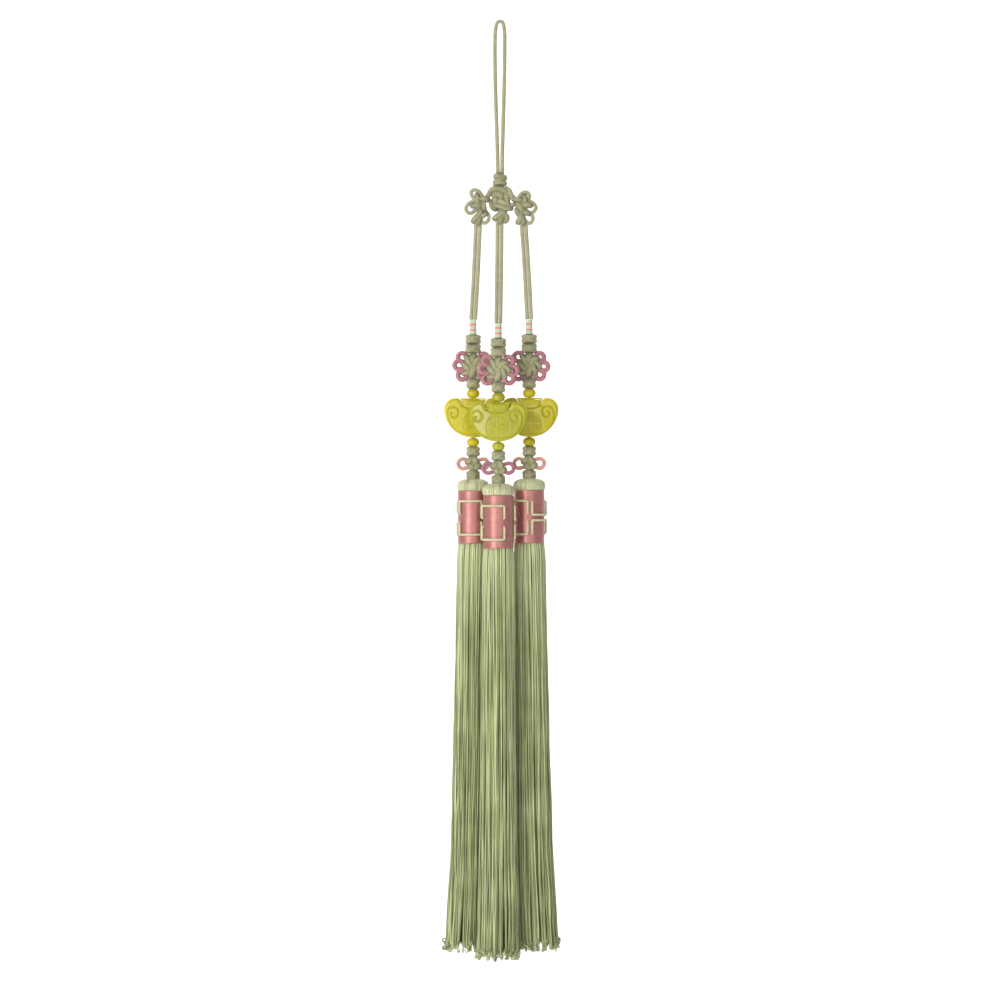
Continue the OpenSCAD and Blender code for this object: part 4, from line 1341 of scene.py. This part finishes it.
def tassel_head(side, seed):
    random = np.random.default_rng(seed)
    _, high = low_high(side + "_tassel")
    top_middle = [*AXES[side], high[2]]
    routes, radii, ways, tones = [], [], [], []
    for n in range(HEAD_YARNS):
        lift = random.uniform(-0.16, 0.08)
        points = [(radius - HEAD_YARN + lift, 0, height) for radius, height in HEAD_FORM]
        form = smooth_route(points, HEAD_STEP)
        turn = 2 * math.pi * (n + random.uniform(-0.25, 0.25)) / HEAD_YARNS
        along = np.linspace(0, 1, len(form))
        sway = random.uniform(-0.05, 0.05) * np.sin(along * math.pi) + random.uniform(-0.02, 0.02)
        angle = turn + sway
        route = np.column_stack([form[:, 0] * np.cos(angle), form[:, 0] * np.sin(angle), form[:, 2]])
        routes.append(route + top_middle)
        radii.append(np.interp(along, [0, 0.45, 1], [YARN_START, HEAD_YARN, HEAD_YARN]))
        ways.append((-math.sin(turn), math.cos(turn), 0))
        tones.append(random.uniform(0, 1))
    look = (head_yarn, "tassel_silk", side + "_tassel")
    tubes(side + "_head_yarn", routes, radii, *look, sides=6, ways=ways, tones=tones)


head_yarn = silk(
    "head_yarn", fibres, {"Across": 1.6, "Long": 1.2}, [(116, 114, 72), (196, 197, 156), (218, 218, 188)],
    0.00003, roughness=0.55,
)
for seed, side in enumerate(SIDES):
    tassel_head(side, seed)

# %% [markdown]
# The fringe is nearly two hundred loose threads for each tassel, in three layers. Every thread starts
# inside the sleeve's end, spreads as it falls, wavers a little and ends in a tiny curl. Where two
# tassels press on each other the threads keep to their own side, as the CAD solid does.

# %% The fringe's form
FRINGE_R = 9.2
FRINGE_LONG = 176.0
LEANS = {"left": np.array([-3.0, 0.8]), "middle": np.array([-0.3, -1.0]), "right": np.array([3.9, 0.8])}
SHARES, SPREADS, LEANINGS = zip(
    (0, 0.70, 0), (0.04, 0.76, 0.05), (0.2, 0.78, 0.15), (0.5, 0.83, 0.35), (0.8, 0.90, 0.6), (1, 1, 1),
)
TASSEL_GAP = 0.3
LEAST_TOWARDS = 0.1


def fringe_middle(side, share):
    return AXES[side] + np.multiply.outer(np.interp(share, SHARES, LEANINGS), LEANS[side])


def fringe_spread(share):
    return FRINGE_R * np.interp(share, SHARES, SPREADS)


def fringe_reach(side, share, angle):
    reach = fringe_spread(share)
    for other in SIDES:
        if other != side:
            apart = fringe_middle(other, share) - fringe_middle(side, share)
            distance = np.linalg.norm(apart, axis=-1)
            towards = (apart[..., 0] * np.cos(angle) + apart[..., 1] * np.sin(angle)) / distance
            plane = (distance - TASSEL_GAP) / 2 / np.maximum(towards, LEAST_TOWARDS)
            reach = np.where(towards > LEAST_TOWARDS, np.minimum(reach, plane), reach)
    return reach


print("fringe radius in mm, top and tip:", fringe_spread(np.array([0, 1])).round(1).tolist())

# %% [markdown]
# The fringe's silk is two-ply and twisted. Near the sleeve the threads lie close and catch more light,
# so the colour is paler there and fades into the fringe's own green further down.

# %% Fringe material
PALE, PALE_SHARE = (212, 218, 168), 0.55
PALE_LOW, PALE_HIGH = -0.262, -0.226


def pale_near_sleeve(colour):
    level = object_place(colour.tree).axis("Z")
    limits = {"From_Min": PALE_LOW, "From_Max": PALE_HIGH, "To_Min": 0.0, "To_Max": PALE_SHARE}
    near = result(colour.tree, "ShaderNodeMapRange", Value=level, **limits)
    return mix_colours(near, colour, shade(*PALE))


fringe_silk = silk(
    "fringe_silk", ply, {"Plies": 2, "Twist": 1.5}, [(40, 46, 4), (150, 160, 100), (236, 242, 192)],
    0.0001, weight=0.68, painted_lighting=pale_near_sleeve,
)
print("fringe material ready")

# %% [markdown]
# Each layer's threads start at even turns round the sleeve with a little chance in every measure. The
# chance comes from a seeded row of numbers, so the same fringe is made each time.

# %% Make the fringes
LAYERS = [(74, 1.0), (60, 0.9), (44, 0.78)]
THREAD = 0.32
THREAD_POINTS = 42
CURL, CURL_POINTS = 0.7, 10
FRINGE_UP = 0.6
FIRST_SEED = 10


def fringe_thread(side, layer, turn, random, top):
    share = np.linspace(0, 1, THREAD_POINTS)
    along = share * FRINGE_LONG
    thick = THREAD * random.uniform(0.82, 1.15)
    drop = FRINGE_LONG + random.uniform(-3.5, 0.8) - 2 * CURL
    wander = random.uniform(-0.14, 0.14) * share
    wander += 0.035 * np.sin(along / random.uniform(9, 22) + random.uniform(0, 6))
    angle = turn + wander
    swell = 0.4 * np.sin(along / random.uniform(8, 20) + random.uniform(0, 6)) - 0.3
    radius = (fringe_reach(side, share, angle) - thick) * layer + swell * (0.3 + share)
    middle = fringe_middle(side, share)
    x, y = middle[:, 0] + radius * np.cos(angle), middle[:, 1] + radius * np.sin(angle)
    route = np.column_stack([x, y, top - share * drop])
    facing = angle[-1] + random.uniform(-1.2, 1.2)
    out = np.array([math.cos(facing), math.sin(facing), 0])
    bend = np.linspace(0, random.uniform(3.2, 5.4), CURL_POINTS)[1:, None]
    curl = out * (1 - np.cos(bend)) - np.array([0, 0, 1]) * np.sin(bend)
    tip = route[-1] + CURL * random.uniform(0.7, 1.2) * curl
    return np.vstack([route, tip]), thick, (-math.sin(facing), math.cos(facing), 0)


def fringe(side, seed):
    random = np.random.default_rng(seed)
    sleeve_low, _ = low_high(side + "_sleeve")
    made, tones = [], []
    for count, layer in LAYERS:
        for n in range(count):
            turn = 2 * math.pi * (n + random.uniform(-0.6, 0.6)) / count
            made.append(fringe_thread(side, layer, turn, random, sleeve_low[2] + FRINGE_UP))
            # Each thread's tone is chosen at random, and the inner layers get lower tones as painted shade.
            tones.append(random.uniform(0, 1) * (0.55 + 0.45 * layer))
    routes, radii, ways = [list(column) for column in zip(*made)]
    look = (fringe_silk, "tassel_silk", side + "_tassel")
    tubes(side + "_fringe", routes, radii, *look, sides=4, ways=ways, tones=tones)


for n, side in enumerate(SIDES):
    fringe(side, FIRST_SEED + n)

# %% [markdown]
# Behind the threads lies a core of yarn that fills the head, the sleeve and the middle of the fringe.
# It is dark between the threads, because little light gets there.

# %% Make the tassel cores
HEAD_CORE = np.array([
    (0.3, -0.1), (3.2, -0.3), (4.8, -0.7), (6.1, -1.6), (6.6, -2.8), (6.4, -4.0), (5.9, -4.9), (5.8, -6.0),
])
SLEEVE_CORE_TOP, SLEEVE_CORE_LOW = 5.7, 5.8
CORE_TOP_GAP, CORE_WIDE, CORE_SHORT = 0.4, 0.58, 2
CORE_RINGS = 12

core_silk, tree = new_material("core_silk", Roughness=0.8, Sheen_Weight=0.1)
strands = stretched_noise(tree, (1400, 1400, 30))
paint(ramp(strands, [(0.3, (34, 38, 8)), (0.7, (78, 84, 36))]), strands, 0.0003)


def tassel_core(side):
    _, top = low_high(side + "_tassel")
    sleeve_low, sleeve_high = low_high(side + "_sleeve")
    slot, node = "tassel_silk", side + "_tassel"
    route = np.array([[*AXES[side], top[2] + height] for _, height in HEAD_CORE])
    tubes(side + "_head_core", [route], [HEAD_CORE[:, 0]], head_yarn, slot, node, sides=40)
    route = [[*AXES[side], sleeve_high[2] - CORE_TOP_GAP], [*AXES[side], sleeve_low[2]]]
    shares = np.linspace(0.02, 0.985, CORE_RINGS)
    for share in shares:
        route.append([*fringe_middle(side, share), sleeve_low[2] - share * (FRINGE_LONG - CORE_SHORT)])
    radii = np.array([SLEEVE_CORE_TOP, SLEEVE_CORE_LOW, *(fringe_spread(shares) * CORE_WIDE)])
    tubes(side + "_tassel_core", [np.array(route)], [radii], core_silk, slot, node, sides=40)


for side in SIDES:
    tassel_core(side)

# %% [markdown]
# The threads that run through beads and pouches stay as the CAD made them. They are hidden but for a
# glimpse, and only need the cord's colour.

# %% Finish the CAD nodes that stay
bore_cord, tree = new_material("bore_cord", Roughness=0.6, Sheen_Weight=0.2)
grain = noise(object_place(tree), 2500, 2)
paint(ramp(grain, [(0.3, (110, 112, 74)), (0.7, (168, 168, 124))]), grain, 0.0001)
for side in SIDES:
    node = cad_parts[side + "_thread"]
    for slot in node.material_slots:
        slot.material = bore_cord
    print(node.name, "keeps its CAD mesh")

# %% [markdown]
# The norigae hangs free in a pale studio. The floor turns up into the wall in one round sweep, so no
# edge shows behind the object. The wall stands well back, so that the object is also seen from behind.

# %% Floor and wall
FLOOR_Z, FLOOR_FRONT, FLOOR_WIDE = -0.47, -2.4, 6
WALL_Y, WALL_TALL = 1.5, 2.2
SWEEP = 0.35
NEAR = 0.01


def select_edges(piece, test):
    for edge in piece.data.edges:
        edge.select = all(test(piece.data.vertices[n].co) for n in edge.vertices)


def at_wall(point):
    return point.y > WALL_Y - NEAR


def at_wall_foot(point):
    return at_wall(point) and point.z < FLOOR_Z + NEAR


bpy.ops.object.select_all(action="DESELECT")
bpy.ops.mesh.primitive_plane_add(size=1, location=(0, 0, FLOOR_Z))
studio = bpy.context.object
studio.name = "studio_sweep"
studio.scale = (FLOOR_WIDE, 1, 1)
bpy.ops.object.transform_apply(location=True, rotation=False, scale=True)
for point in studio.data.vertices:
    point.co.y = WALL_Y if point.co.y > 0 else FLOOR_FRONT
with editing(studio):
    bpy.ops.mesh.select_all(action="DESELECT")
select_edges(studio, at_wall)
with editing(studio):
    bpy.ops.mesh.select_mode(type="EDGE")
    bpy.ops.mesh.extrude_region_move(TRANSFORM_OT_translate={"value": (0, 0, WALL_TALL)})
select_edges(studio, at_wall_foot)
with editing(studio):
    bpy.ops.mesh.bevel(offset=SWEEP, segments=24, affect="EDGES")
studio.data.shade_smooth()
paper, _ = new_material("studio_paper", Base_Color=(0.9, 0.9, 0.9, 1), Roughness=0.9)
studio.data.materials.append(paper)
print("studio sweep:", len(studio.data.polygons), "faces")

# %% [markdown]
# One wide soft light stands at the left front. Its picture shows as an upright band on the sleeves, a
# small window on the beads and a pale sheen on the front pouch. A broad light fills the front, a third
# one brightens the wall, and white surroundings fill the shadows.

# %% Lights
def soft_light(name, place, target, width, height, power):
    light = add_object(name, bpy.data.lights.new(name, "AREA"))
    light.data.shape = "RECTANGLE"
    light.data.size, light.data.size_y = width, height
    light.data.energy = power
    light.location = place
    way = np.array(target) - np.array(place)
    tilt = math.acos(-way[2] / np.linalg.norm(way))
    light.rotation_euler = (tilt, 0, math.atan2(way[1], way[0]) - math.pi / 2)


soft_light("window", (-0.82, -1.1, 0.1), (0, 0, -0.2), 0.75, 1.1, 17)
soft_light("fill", (0.25, -1.7, 0.0), (0, 0, -0.2), 1.5, 1.2, 11)
soft_light("backdrop", (0, 0.7, 1.4), (0, 1.5, -0.3), 3.2, 0.6, 50)
world = bpy.data.worlds.new("studio")
bpy.context.scene.world = world
world.use_nodes = True
background = world.node_tree.nodes["Background"].inputs
background["Color"].default_value = (1, 1, 1, 1)
background["Strength"].default_value = 0.15
print("lights placed")
